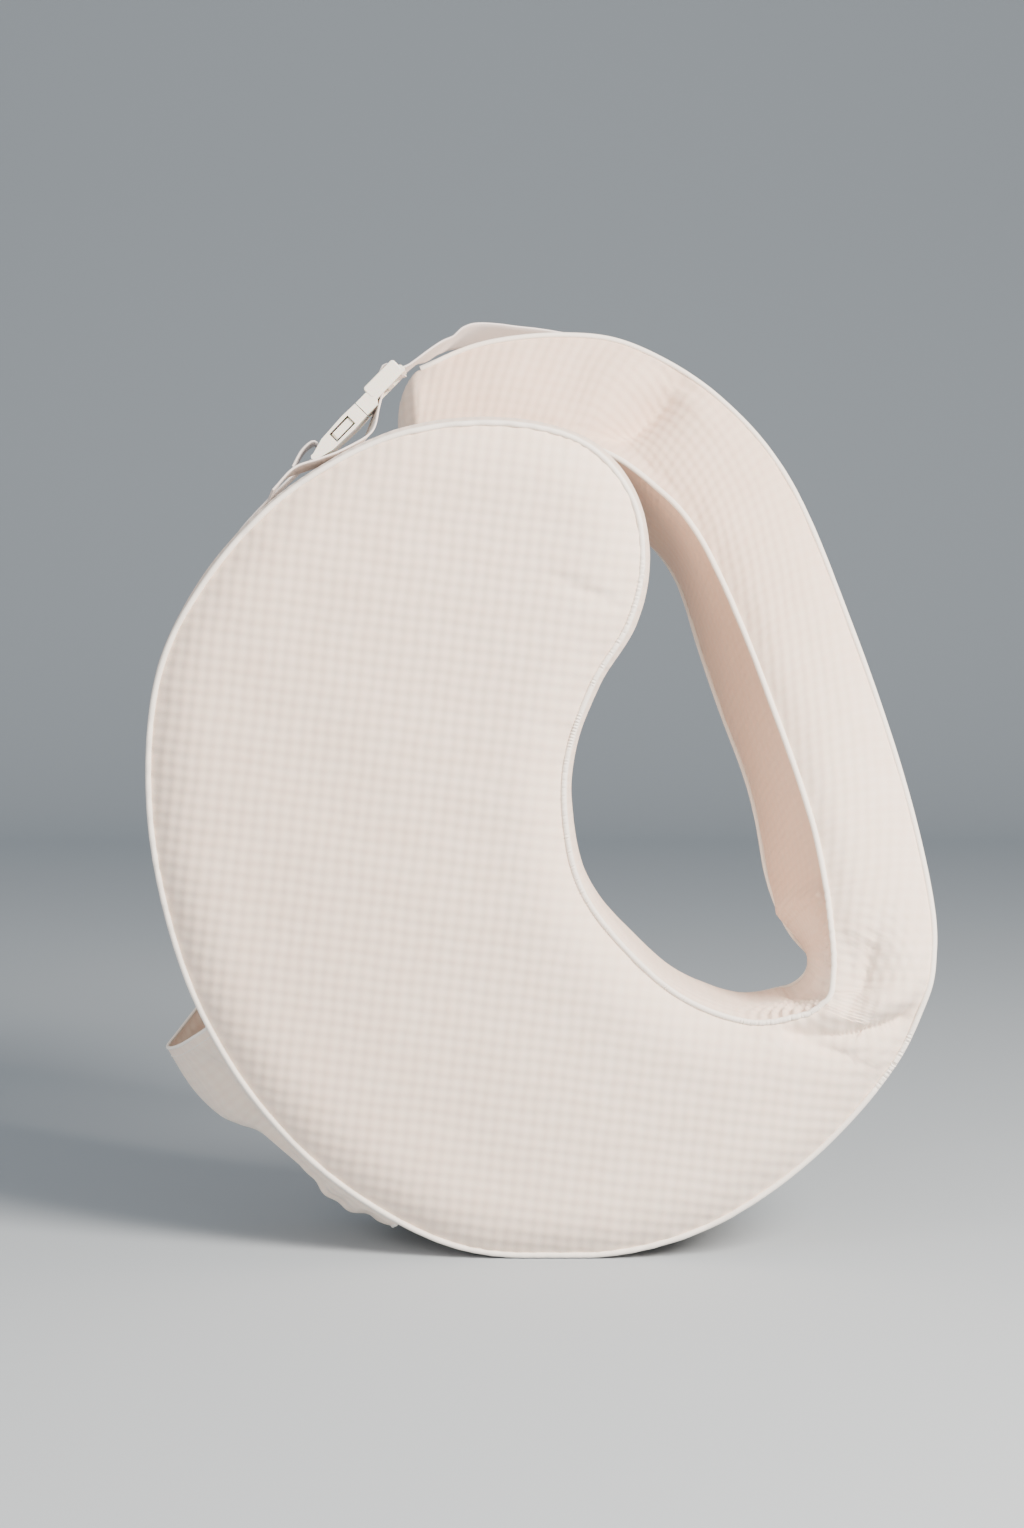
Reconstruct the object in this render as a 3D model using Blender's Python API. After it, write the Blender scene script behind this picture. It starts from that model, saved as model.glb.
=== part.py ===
"""Nursing pillow: a C-shaped cushion that stands on its outer edge, with a folded-over arm.

The cushion is a wide crescent. At its lower right it folds at an elbow into a slimmer arm, which
leans back, folds again at the top and passes behind the crescent. A webbing strap with a
side-release buckle holds the arm closed. Metres, +Z up, the front faces -Y.
"""
import math

import bmesh
import bpy
import numpy as np
from mathutils import Matrix, Vector

# ---- driving dimensions ----
CUSHION_WIDTH = 0.492        # crescent, seam to seam, left to right
CUSHION_HEIGHT = 0.530       # crescent, seam to seam, bottom to top
CUSHION_DEPTH = 0.130        # front seam to back seam
FACE_CROWN = 0.013           # how far the stuffed faces stand out past their seams
GUSSET_CROWN = 0.011         # the same for the side bands
CROWN_REACH = 0.045          # distance from a seam at which a face is at its full crown
SEAM_FLOOR_GAP = 0.003       # height of the lowest seam over the floor
ARM_DEPTH = 0.096            # front seam to back seam of the arm past the elbow
ARM_CROWN = 0.009            # crown of the arm's faces and side bands
ARM_END_CROWN = 0.010        # crown of the arm's end
COVER_THICKNESS = 0.0018     # quilted knit of the cover
CASE_THICKNESS = 0.0010      # plain case of the insert
LAYER_GAP = 0.0008           # between cover, case and filling
PIPING_RADIUS = 0.0016
PIPING_GAP = 0.0005          # between the piping and the panels it joins
ELBOW_GAP = 0.0008           # between the cushion and the arm at the elbow
PIVOT_STANDOFF = 0.0020      # elbow axis outside the side band's crown
WEBBING_WIDTH = 0.030
WEBBING_THICKNESS = 0.0014
PATCH_THICKNESS = 0.0012
LIFT = 0.0008                # webbing and patches over the cover they lie on
BUCKLE_WALL = 0.0032
BUCKLE_THICKNESS = 0.012
SOCKET_LENGTH = 0.046
PRONG_THICKNESS = 0.005
BUCKLE_DEPTH_PLACE = 0.040   # buckle's middle behind the cushion's middle plane
BUCKLE_STANDOFF = 0.034      # socket's mouth outside the front seam line
POCKET_WIDTH = 0.104
POCKET_REACH = 0.036         # how far the open mouth stands out from the side band
ZIPPER_LENGTH = 0.240
ZIPPER_TAPE_WIDTH = 0.0075
ZIPPER_COIL_WIDTH = 0.0044
ZIPPER_GAP = 0.0004

# The crescent's seam line, as shares of its width and height: from the outer end of the elbow
# along the bottom, the left and the top to the tip, and back along the inside to the elbow.
SEAM_LINE = (
    (0.502, 0.331), (0.452, 0.236), (0.358, 0.134), (0.240, 0.053), (0.122, 0.010), (0.015, 0.000),
    (-0.095, 0.012), (-0.205, 0.062), (-0.305, 0.134), (-0.394, 0.236), (-0.459, 0.364),
    (-0.496, 0.528), (-0.488, 0.688), (-0.433, 0.802), (-0.331, 0.908), (-0.200, 0.978),
    (-0.071, 0.998), (0.041, 0.980), (0.104, 0.925), (0.123, 0.851),
    (0.106, 0.774), (0.059, 0.700), (0.025, 0.610), (0.022, 0.528), (0.043, 0.444),
    (0.098, 0.372), (0.179, 0.306), (0.274, 0.274), (0.350, 0.286), (0.394, 0.318))
TIP_INDEX = 19               # the point of SEAM_LINE that is the tip

# The arm's front seams past the elbow: outer edge and inner edge, as shares of the crescent's
# width and height, and how far each lies behind the crescent's front seam, in metres.
ARM_OUTER_EDGE = (
    (0.506, 0.415, 0.018), (0.478, 0.560, 0.052), (0.417, 0.748, 0.090), (0.340, 0.935, 0.129),
    (0.248, 1.045, 0.158), (0.135, 1.112, 0.174), (0.040, 1.128, 0.178), (-0.075, 1.117, 0.178),
    (-0.170, 1.082, 0.177))
ARM_INNER_EDGE = (
    (0.394, 0.380, 0.010), (0.368, 0.505, 0.034), (0.318, 0.655, 0.070), (0.230, 0.868, 0.112),
    (0.156, 0.955, 0.138), (0.082, 0.998, 0.152), (0.030, 0.990, 0.157), (-0.070, 0.972, 0.158),
    (-0.160, 0.946, 0.158))

HALF_DEPTH = CUSHION_DEPTH / 2
SEAM_EDGE = PIPING_RADIUS + PIPING_GAP          # panels stop this far from the seam line
CASE_OUT = COVER_THICKNESS + LAYER_GAP
CASE_IN = CASE_OUT + CASE_THICKNESS
FILL_IN = CASE_IN + LAYER_GAP
CRESCENT_STATIONS = 32
ARM_STATIONS = 14
ACROSS = (0.0, 0.10, 0.25, 0.5, 0.75, 0.90, 1.0)
BAND = (0.0, 0.2, 0.5, 0.8, 1.0)


# ---- materials ----
def material(name, color, roughness, metallic=0.0):
    made = bpy.data.materials.get(name)
    if made is None:
        made = bpy.data.materials.new(name)
        made.use_nodes = True
        shader = made.node_tree.nodes["Principled BSDF"]
        shader.inputs["Base Color"].default_value = (*color, 1.0)
        shader.inputs["Roughness"].default_value = roughness
        shader.inputs["Metallic"].default_value = metallic
    return made


def waffle_knit():
    return material("waffle_knit", (0.82, 0.74, 0.68), 0.9)


def piping_cotton():
    return material("piping_cotton", (0.86, 0.82, 0.77), 0.85)


def case_cotton():
    return material("case_cotton", (0.88, 0.87, 0.85), 0.9)


def fibre_fill():
    return material("fibre_fill", (0.92, 0.92, 0.90), 1.0)


def strap_webbing():
    return material("strap_webbing", (0.80, 0.77, 0.77), 0.8)


def buckle_acetal():
    return material("buckle_acetal", (0.87, 0.84, 0.78), 0.35)


def zipper_nylon():
    return material("zipper_nylon", (0.84, 0.80, 0.75), 0.6)


def slider_zinc():
    return material("slider_zinc", (0.80, 0.79, 0.77), 0.35, 0.9)


def label_satin():
    return material("label_satin", (0.90, 0.89, 0.88), 0.5)


# ---- curves ----
def smooth_curve(points, steps=24):
    """Catmull-Rom curve through the points, as a dense array."""
    p = np.array(points, dtype=float)
    p = np.vstack((2 * p[0] - p[1], p, 2 * p[-1] - p[-2]))
    out = []
    for i in range(1, len(p) - 2):
        for t in np.arange(steps) / steps:
            out.append(0.5 * (2 * p[i] + (p[i + 1] - p[i - 1]) * t
                              + (2 * p[i - 1] - 5 * p[i] + 4 * p[i + 1] - p[i + 2]) * t * t
                              + (3 * p[i] - p[i - 1] - 3 * p[i + 1] + p[i + 2]) * t ** 3))
    out.append(p[-2])
    return np.array(out)


class Line:
    """A smooth line that gives the point at a share of its length."""

    def __init__(self, points):
        self.dense = smooth_curve(points)
        steps = np.linalg.norm(np.diff(self.dense, axis=0), axis=1)
        self.at = np.concatenate(([0.0], np.cumsum(steps)))
        self.length = float(self.at[-1])

    def share_of(self, index, count):
        return float(self.at[int(round(index / (count - 1) * (len(self.at) - 1)))]) / self.length

    def point(self, share):
        s = min(max(share, 0.0), 1.0) * self.length
        return np.array([np.interp(s, self.at, self.dense[:, c])
                         for c in range(self.dense.shape[1])])

    def direction(self, share):
        step = 0.004 / self.length
        d = self.point(share + step) - self.point(share - step)
        return d / np.linalg.norm(d)


def crown(distance, height, reach=CROWN_REACH):
    """Stuffed profile: steep beside the seam and level past the reach."""
    x = min(max(distance / reach, 0.0), 1.0)
    return height * (1 - (1 - x) ** 3)


def ease(x):
    x = min(max(x, 0.0), 1.0)
    return x * x * (3 - 2 * x)


# ---- the crescent's surface ----
SEAM = Line([(x * CUSHION_WIDTH, z * CUSHION_HEIGHT + SEAM_FLOOR_GAP) for x, z in SEAM_LINE])
TIP_SHARE = SEAM.share_of(TIP_INDEX, len(SEAM_LINE))


ELBOW_OUTER = SEAM.point(0.0)
ELBOW_INNER = SEAM.point(1.0)
ELBOW_ACROSS = (ELBOW_INNER - ELBOW_OUTER) / np.linalg.norm(ELBOW_INNER - ELBOW_OUTER)
ELBOW_ALONG = np.array((ELBOW_ACROSS[1], -ELBOW_ACROSS[0]))     # from the crescent into the arm
ELBOW_REACH = 0.050          # over this length the bulge turns into the plane of the elbow


def seam_normal(share):
    """Direction in the XZ plane that points out of the crescent."""
    d = SEAM.direction(share)
    normal = np.array((-d[1], d[0]))
    near_outer = ease(1 - share * SEAM.length / ELBOW_REACH)
    near_inner = ease(1 - (1 - share) * SEAM.length / ELBOW_REACH)
    normal = normal * (1 - near_outer) - ELBOW_ACROSS * near_outer
    normal = normal * (1 - near_inner) + ELBOW_ACROSS * near_inner
    return normal / np.linalg.norm(normal)


def seam_step(share):
    """The same way out, long enough to be one unit away from the seam line itself."""
    d = SEAM.direction(share)
    normal = seam_normal(share)
    return normal / float(normal @ np.array((-d[1], d[0])))


def seam_share(tau, side):
    """Share along the seam line of a rung: tau is 0 at the tip and 1 at the elbow."""
    if side == "outer":
        return TIP_SHARE * (1 - tau)
    return TIP_SHARE + (1 - TIP_SHARE) * tau


def side_band(share, y, rim=0.0, lift=0.0):
    """Point of the crescent's side band at a share of the seam line and a depth y."""
    bulge = crown(HALF_DEPTH - abs(y), GUSSET_CROWN)
    p = SEAM.point(share) + seam_normal(share) * (bulge - rim + lift)
    return Vector((p[0], y, max(p[1], rim)))


def crescent_point(tau, side, u, rim, face):
    """Point of the crescent's skin, rim in from the seam line and face in from the faces."""
    deep = HALF_DEPTH - face
    if side in ("outer", "inner"):
        y = deep * (2 * u - 1)
        bulge = crown(deep - abs(y), GUSSET_CROWN)
        share = seam_share(tau, side)
        p = SEAM.point(share) + seam_normal(share) * bulge - seam_step(share) * rim
        return Vector((p[0], y, max(p[1], rim)))
    ends = []
    for edge in ("outer", "inner"):
        share = seam_share(tau, edge)
        ends.append(SEAM.point(share) - seam_step(share) * rim)
    p = ends[0] * (1 - u) + ends[1] * u
    away = float(np.min(np.linalg.norm(SEAM.dense - p, axis=1))) - rim
    y = deep + crown(away, FACE_CROWN)
    return Vector((p[0], y if side == "back" else -y, max(p[1], rim)))


def crescent_taus():
    """Rungs, closer together at the tip."""
    closeness = 0.45
    steps = [i / CRESCENT_STATIONS for i in range(CRESCENT_STATIONS + 1)]
    return [x + closeness * (x * x - x) for x in steps]


# ---- the arm's surface ----
def arm_edge(start, points):
    first = start + ELBOW_ALONG * ELBOW_GAP
    scaled = [(x * CUSHION_WIDTH, back - HALF_DEPTH, z * CUSHION_HEIGHT + SEAM_FLOOR_GAP)
              for x, z, back in points]
    return Line([(first[0], -HALF_DEPTH, first[1])] + scaled)


ARM_OUTER = arm_edge(ELBOW_OUTER, ARM_OUTER_EDGE)
ARM_INNER = arm_edge(ELBOW_INNER, ARM_INNER_EDGE)
ARM_SIDES = ("front", "inner", "back", "outer")


def arm_frame(t):
    """Front seam points of the arm at t, and the directions across it and into its depth."""
    outer = Vector(ARM_OUTER.point(t))
    inner = Vector(ARM_INNER.point(t))
    across = (inner - outer).normalized()
    along = Vector(ARM_OUTER.direction(t)) + Vector(ARM_INNER.direction(t))
    into = across.cross(along).normalized()
    if into.y < 0:
        into = -into
    square = ease(t / 0.14)
    into = (Vector((0, 1, 0)) * (1 - square) + into * square).normalized()
    return outer, inner, across, into


def arm_point(t, side, u, rim, face, end=0.0):
    """Point of the arm's skin; end moves it past the arm's last section."""
    outer, inner, across, into = arm_frame(t)
    depth = CUSHION_DEPTH + (ARM_DEPTH - CUSHION_DEPTH) * ease(t / 0.16)
    face_crown = FACE_CROWN + (ARM_CROWN - FACE_CROWN) * ease(t / 0.16)
    band_crown = GUSSET_CROWN + (ARM_CROWN - GUSSET_CROWN) * ease(t / 0.16)
    corners = (outer + across * rim + into * face,
               inner - across * rim + into * face,
               inner - across * rim + into * (depth - face),
               outer + across * rim + into * (depth - face))
    out = (-into, across, into, -across)
    i = ARM_SIDES.index(side)
    a, b = corners[i], corners[(i + 1) % 4]
    away = (b - a).length * min(u, 1 - u)
    height = face_crown if side in ("front", "back") else band_crown
    reach = min(CROWN_REACH, (b - a).length / 2)
    p = a.lerp(b, u) + out[i] * crown(away, height, reach)
    if end:
        p += across.cross(into).normalized() * -end
    return p


def arm_ts(short=0.0):
    """Stations along the arm; the last one stays short of the end by a length."""
    steps = [i / ARM_STATIONS for i in range(ARM_STATIONS)]
    return steps + [1 - short / ARM_OUTER.length]


# ---- mesh helpers ----
def twist(face):
    """How far a quad's last corner lies out of the plane of the other three."""
    a, b, c, d = (v.co for v in face.verts)
    across = (b - a).cross(c - a)
    return abs((d - a).dot(across)) / max(across.length, 1e-12)


def finish_mesh(name, mesh_builder, parent, material_made, smooth=40):
    """Make the node's object from a bmesh, with its origin on its parent's."""
    bm = mesh_builder
    bmesh.ops.remove_doubles(bm, verts=bm.verts, dist=1e-6)
    bmesh.ops.recalc_face_normals(bm, faces=bm.faces)
    twisted = [f for f in bm.faces if len(f.verts) == 4 and twist(f) > 1e-6]
    bmesh.ops.triangulate(bm, faces=twisted, quad_method="SHORT_EDGE")
    bm.transform(Matrix.Translation(-Vector(parent["place"])))
    mesh = bpy.data.meshes.new(name)
    bm.to_mesh(mesh)
    bm.free()
    mesh.shade_smooth()
    mesh.set_sharp_from_angle(angle=math.radians(smooth))
    mesh.materials.append(material_made)
    node = bpy.data.objects.new(name, mesh)
    bpy.context.scene.collection.objects.link(node)
    node.parent = parent
    return node


def pivot(name, place, parent=None):
    """Empty on a joint's axis, which the moving pieces hang from."""
    empty = bpy.data.objects.new(name, None)
    bpy.context.scene.collection.objects.link(empty)
    empty.empty_display_size = 0.02
    empty["place"] = tuple(place)
    if parent is not None:
        empty.parent = parent
        empty.location = Vector(place) - Vector(parent["place"])
    return empty


def grid_faces(bm, rows, flip=False):
    for a, b in zip(rows, rows[1:]):
        for j in range(len(a) - 1):
            corners = (a[j], a[j + 1], b[j + 1], b[j])
            bm.faces.new(corners[::-1] if flip else corners)


def sheet_solid(outer, inner, closed_start=False):
    """Closed shell between two grids of points; closed_start leaves row 0 to join itself."""
    bm = bmesh.new()
    top = [[bm.verts.new(p) for p in row] for row in outer]
    low = [[bm.verts.new(p) for p in row] for row in inner]
    grid_faces(bm, top)
    grid_faces(bm, low, flip=True)
    for side in (0, -1):
        for i in range(len(top) - 1):
            bm.faces.new((top[i][side], top[i + 1][side], low[i + 1][side], low[i][side]))
    for end in (0, -1):
        if end == 0 and closed_start:
            continue
        for j in range(len(top[0]) - 1):
            bm.faces.new((top[end][j], top[end][j + 1], low[end][j + 1], low[end][j]))
    return bm


def ring_solid(rings):
    """Closed solid through rings of points, with a cap at each end."""
    bm = bmesh.new()
    loops = [[bm.verts.new(p) for p in ring] for ring in rings]
    count = len(loops[0])
    for a, b in zip(loops, loops[1:]):
        for j in range(count):
            k = (j + 1) % count
            bm.faces.new((a[j], a[k], b[k], b[j]))
    bm.faces.new(loops[0])
    bm.faces.new(loops[-1][::-1])
    return bm


def tube(points, radius, sides=6):
    """Round cord along the points."""
    rings = []
    for i, p in enumerate(points):
        along = (points[min(i + 1, len(points) - 1)] - points[max(i - 1, 0)]).normalized()
        wide = Vector((0, 1, 0)).cross(along).normalized()
        high = along.cross(wide)
        rings.append([p + (wide * math.cos(a) + high * math.sin(a)) * radius
                      for a in (2 * math.pi * k / sides for k in range(sides))])
    return ring_solid(rings)


def tape(points, width, thickness, start_wide=Vector((0, 1, 0)), end_wide=Vector((0, 1, 0))):
    """Flat webbing along the points, its width turning between two directions."""
    rings = []
    last = len(points) - 1
    for i, p in enumerate(points):
        along = (points[min(i + 1, last)] - points[max(i - 1, 0)]).normalized()
        wide = start_wide.lerp(end_wide, ease(i / last * 5 - 0.6))
        wide = (wide - along * along.dot(wide)).normalized()
        thick = along.cross(wide)
        rings.append([p + wide * width / 2 * a + thick * thickness / 2 * b
                      for a, b in ((-1, -1), (1, -1), (1, 1), (-1, 1))])
    return ring_solid(rings)


def smooth_route(points, spacing):
    route = Line([tuple(p) for p in points])
    count = max(2, int(round(route.length / spacing)))
    return [Vector(route.point(i / count)) for i in range(count + 1)]


def prism(outline, low, high, place):
    """Outline of (a, b) points pushed from low to high along the third axis; place maps it."""
    bm = bmesh.new()
    rings = [[bm.verts.new(place(a, b, c)) for a, b in outline] for c in (low, high)]
    count = len(outline)
    for j in range(count):
        k = (j + 1) % count
        bm.faces.new((rings[0][j], rings[0][k], rings[1][k], rings[1][j]))
    bm.faces.new(rings[0][::-1])
    bm.faces.new(rings[1])
    return bm


def rectangle(a0, a1, b0, b1):
    return ((a0, b0), (a1, b0), (a1, b1), (a0, b1))


def boolean(node, tool, operation):
    """Cut or join with a hidden tool object."""
    tool.hide_render = True
    tool.display_type = "WIRE"
    cut = node.modifiers.new(tool.name, "BOOLEAN")
    cut.operation = operation
    cut.solver = "EXACT"
    cut.object = tool


# ---- cover, piping, insert case and filling ----
def panel_grid(point, stations, side, rim, face):
    return [[point(t, side, u, rim, face) for u in ACROSS] for t in stations]


def face_panel(name, point, stations, side, parent, closed_start):
    """Front or back panel of the cover, trimmed back from the piping."""
    outer = panel_grid(point, stations, side, SEAM_EDGE, 0.0)
    inner = panel_grid(point, stations, side, SEAM_EDGE, COVER_THICKNESS)
    return finish_mesh(name, sheet_solid(outer, inner, closed_start), parent, waffle_knit())


def band_panel(name, point, stations, side, parent):
    """Side band of the cover between the front and the back piping."""
    outer = [[point(t, side, u, 0.0, SEAM_EDGE) for u in BAND] for t in stations]
    inner = [[point(t, side, u, COVER_THICKNESS, SEAM_EDGE) for u in BAND] for t in stations]
    return finish_mesh(name, sheet_solid(outer, inner), parent, waffle_knit())


def case_half(name, point, stations, half, parent, closed_start):
    """Half of the insert's case: one face and the near half of both side bands."""
    def row(t, inset):
        near = (0.495, 0.2) if half == "front" else (0.505, 0.8)
        line = [point(t, "outer", u, inset, inset) for u in outer_way(point, near)]
        line += [point(t, half, u, inset, inset) for u in face_way(point, half)]
        line += [point(t, "inner", u, inset, inset) for u in inner_way(point, near)]
        return line
    outer = [row(t, CASE_OUT) for t in stations]
    inner = [row(t, CASE_IN) for t in stations]
    return finish_mesh(name, sheet_solid(outer, inner, closed_start), parent, case_cotton())


def outer_way(point, near):
    """Band positions from the middle to the face; the arm's outer band runs back to front."""
    return [1 - u for u in near] if point is arm_point else near


def face_way(point, half):
    """Face positions from the outer seam to the inner one; the arm's back runs the other way."""
    return ACROSS[::-1] if point is arm_point and half == "back" else ACROSS


def inner_way(point, near):
    return near[::-1]


def filling(name, point, stations, parent):
    """Fibre filling as one closed solid."""
    rings = []
    for t in stations:
        ring = [point(t, "front", u, FILL_IN, FILL_IN) for u in ACROSS]
        ring += [point(t, "inner", u, FILL_IN, FILL_IN) for u in BAND[1:-1]]
        ring += [point(t, "back", u, FILL_IN, FILL_IN) for u in back_way(point)]
        ring += [point(t, "outer", u, FILL_IN, FILL_IN) for u in outer_back_way(point)]
        rings.append(ring)
    return finish_mesh(name, ring_solid(rings), parent, fibre_fill())


def back_way(point):
    return ACROSS if point is arm_point else ACROSS[::-1]


def outer_back_way(point):
    return BAND[1:-1] if point is arm_point else BAND[-2:0:-1]


def make_crescent(parent):
    taus = crescent_taus()
    face_panel("cover_front", crescent_point, taus, "front", parent, True)
    back = face_panel("cover_back", crescent_point, taus, "back", parent, True)
    for side, length in (("outer", TIP_SHARE * SEAM.length), ("inner", (1 - TIP_SHARE) * SEAM.length)):
        split = [PIPING_GAP / length] + taus[1:]
        band_panel("cover_band_" + side, crescent_point, split, side, parent)
    for name, y in (("piping_front", -HALF_DEPTH), ("piping_back", HALF_DEPTH)):
        short = 2 * PIPING_RADIUS / SEAM.length
        shares = [short] + [seam_share(t, "outer") for t in reversed(taus[:-1])]
        shares += [seam_share(t, "inner") for t in taus[1:-1]] + [1 - short]
        line = [Vector((*SEAM.point(s)[:1], y, SEAM.point(s)[1])) for s in shares]
        finish_mesh(name, tube(line, PIPING_RADIUS), parent, piping_cotton())
    case_half("insert_case_front", crescent_point, taus, "front", parent, True)
    case_half("insert_case_back", crescent_point, taus, "back", parent, True)
    filling("insert_filling", crescent_point, taus[1:], parent)
    return back


def make_arm(parent):
    ts = arm_ts()
    for half in ("front", "back"):
        face_panel("arm_cover_" + half, arm_point, arm_ts(SEAM_EDGE), half, parent, False)
    for side in ("outer", "inner"):
        band_panel("arm_band_" + side, arm_point, ts, side, parent)
    for half, index in (("front", 0), ("back", 2)):
        outer_u, inner_u = ((0.0, 1.0) if half == "front" else (1.0, 0.0))
        line = [arm_point(t, half, outer_u, 0.0, 0.0) for t in ts]
        line += [arm_point(t, half, inner_u, 0.0, 0.0) for t in reversed(ts)]
        finish_mesh("arm_piping_" + half, tube(line, PIPING_RADIUS), parent, piping_cotton())
    arm_end(parent)
    inside = arm_ts(CASE_IN)
    case_half("arm_case_front", arm_point, inside, "front", parent, False)
    case_half("arm_case_back", arm_point, inside, "back", parent, False)
    filling("arm_filling", arm_point, inside, parent)


def arm_end(parent):
    """End panel that closes the arm, bulging past its last section."""
    def layer(past):
        rows = []
        for v in BAND:
            front = arm_point(1.0, "outer", 1 - v, SEAM_EDGE, SEAM_EDGE)
            inner = arm_point(1.0, "inner", v, SEAM_EDGE, SEAM_EDGE)
            span = (inner - front).length
            row = []
            for u in BAND:
                bulge = crown(min(min(u, 1 - u) * span, min(v, 1 - v) * ARM_DEPTH),
                              ARM_END_CROWN, span / 2)
                out = arm_point(1.0, "outer", 0.5, 0, 0, end=1.0) - arm_point(1.0, "outer", 0.5, 0, 0)
                row.append(front.lerp(inner, u) + out * (bulge + SEAM_EDGE + past))
            rows.append(row)
        return rows
    finish_mesh("arm_band_end", sheet_solid(layer(COVER_THICKNESS), layer(0.0)), parent,
                waffle_knit())


# ---- buckle ----
PIVOT = ELBOW_OUTER + seam_normal(0.0) * (GUSSET_CROWN + PIVOT_STANDOFF)
BUCKLE_SHARE = 0.609          # share of the seam line beside the socket's mouth
MOUTH = SEAM.point(BUCKLE_SHARE) + seam_normal(BUCKLE_SHARE) * BUCKLE_STANDOFF
ARC = MOUTH - PIVOT
BUCKLE_AXIS = Vector((ARC[1], 0, -ARC[0])).normalized()        # the way the plug leaves
BUCKLE_NORMAL = BUCKLE_AXIS.cross(Vector((0, 1, 0)))
BUCKLE_HALF_WIDTH = WEBBING_WIDTH / 2 + 0.005
SLOT = 0.0085                 # length of a webbing slot along the buckle
BAR = 0.0042                  # width of a webbing bar along the buckle
SHOULDER = 0.010
SHOULDER_SLOPE = 0.0045       # from the plug's shoulder to its first slot
LADDER_HALF = 0.0026          # half the thickness of the plug's ladder
PLUG_LENGTH = SHOULDER + SHOULDER_SLOPE + 2 * (SLOT + BAR)


def in_buckle(along, wide, high):
    """Place in the buckle: along from the socket's mouth towards the arm, wide along +Y."""
    mouth = Vector((MOUTH[0], BUCKLE_DEPTH_PLACE, MOUTH[1]))
    return mouth + BUCKLE_AXIS * along + Vector((0, wide, 0)) + BUCKLE_NORMAL * high


def side_profile(along, high, wide):
    return in_buckle(along, wide, high)


def plan_profile(along, wide, high):
    return in_buckle(along, wide, high)


REAR_BAR_HALF = 0.0024        # half the thickness of the socket's webbing bar


def make_socket(parent):
    """Female half: a hollow housing with a window each side and a webbing bar at its rear."""
    half = BUCKLE_THICKNESS / 2
    rear = -SOCKET_LENGTH
    slot_end = rear + BAR + SLOT
    bar = REAR_BAR_HALF
    profile = ((0, -half * 0.92), (0, half * 0.92), (-0.012, half), (slot_end + 0.001, half * 0.85),
               (rear + BAR - 0.0006, bar), (rear + 0.001, bar), (rear, bar / 2),
               (rear, -bar / 2), (rear + 0.001, -bar), (rear + BAR - 0.0006, -bar),
               (slot_end + 0.001, -half * 0.85),
               (-0.012, -half))
    node = finish_mesh("buckle_socket",
                       prism(profile, -BUCKLE_HALF_WIDTH, BUCKLE_HALF_WIDTH, side_profile),
                       parent, buckle_acetal(), smooth=25)
    cavity_wide = BUCKLE_HALF_WIDTH - BUCKLE_WALL
    cavity = prism(rectangle(-SOCKET_LENGTH + 0.019, 0.01, -cavity_wide, cavity_wide),
                   -half + 0.0018, half - 0.0018, plan_profile)
    windows = prism(rectangle(-0.0264, -0.0090, -0.0037, 0.0037), -0.03, 0.03, side_profile)
    slot = prism(rectangle(rear + BAR, slot_end, -WEBBING_WIDTH / 2 - 0.001,
                           WEBBING_WIDTH / 2 + 0.001), -0.02, 0.02, plan_profile)
    for label, cutter in (("slot", slot), ("windows", windows), ("cavity", cavity)):
        tool = finish_mesh("socket_" + label, cutter, parent, buckle_acetal())
        boolean(node, tool, "DIFFERENCE")


def make_plug(parent):
    """Male half: a shoulder, a guide tongue and a ladder of two slots for the webbing."""
    gap = 0.0006
    end = PLUG_LENGTH
    thin = LADDER_HALF
    slope = SHOULDER + 0.003
    profile = ((gap, -0.0055), (gap, 0.0055), (SHOULDER, 0.0055), (slope, thin),
               (end - 0.001, thin), (end, thin / 2), (end, -thin / 2), (end - 0.001, -thin),
               (slope, -thin), (SHOULDER, -0.0055))
    wide = BUCKLE_HALF_WIDTH - 0.0006
    node = finish_mesh("buckle_plug", prism(profile, -wide, wide, side_profile), parent,
                       buckle_acetal(), smooth=25)
    for i in range(2):
        low = SHOULDER + SHOULDER_SLOPE + i * (SLOT + BAR)
        slot = prism(rectangle(low, low + SLOT, -WEBBING_WIDTH / 2 - 0.001,
                               WEBBING_WIDTH / 2 + 0.001), -0.02, 0.02, plan_profile)
        tool = finish_mesh(f"plug_slot_{i}", slot, parent, buckle_acetal())
        boolean(node, tool, "DIFFERENCE")
    tongue = prism(rectangle(-0.024, SHOULDER / 2, -0.0035, 0.0035), -0.0022, 0.0022, plan_profile)
    tool = finish_mesh("plug_tongue", tongue, parent, buckle_acetal())
    boolean(node, tool, "UNION")


PRONG_ROOT = -0.0008
PRONG_MIDDLE = 0.0120         # prong's distance from the buckle's middle
PRONG_HALF = 0.0018


def make_prong(name, sign, parent):
    """Sprung side prong: its pad fills the socket's window and its barb catches behind it."""
    outline = ((PRONG_ROOT, PRONG_MIDDLE - PRONG_HALF), (PRONG_ROOT, PRONG_MIDDLE + PRONG_HALF),
               (-0.0075, PRONG_MIDDLE + PRONG_HALF), (-0.0102, 0.0186), (-0.0240, 0.0190),
               (-0.0255, 0.0158), (-0.0258, PRONG_MIDDLE - PRONG_HALF))
    placed = [(a, b * sign) for a, b in outline]
    if sign < 0:
        placed.reverse()
    half = PRONG_THICKNESS / 2
    finish_mesh(name, prism(placed, -half, half, plan_profile), parent, buckle_acetal(), smooth=25)


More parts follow.
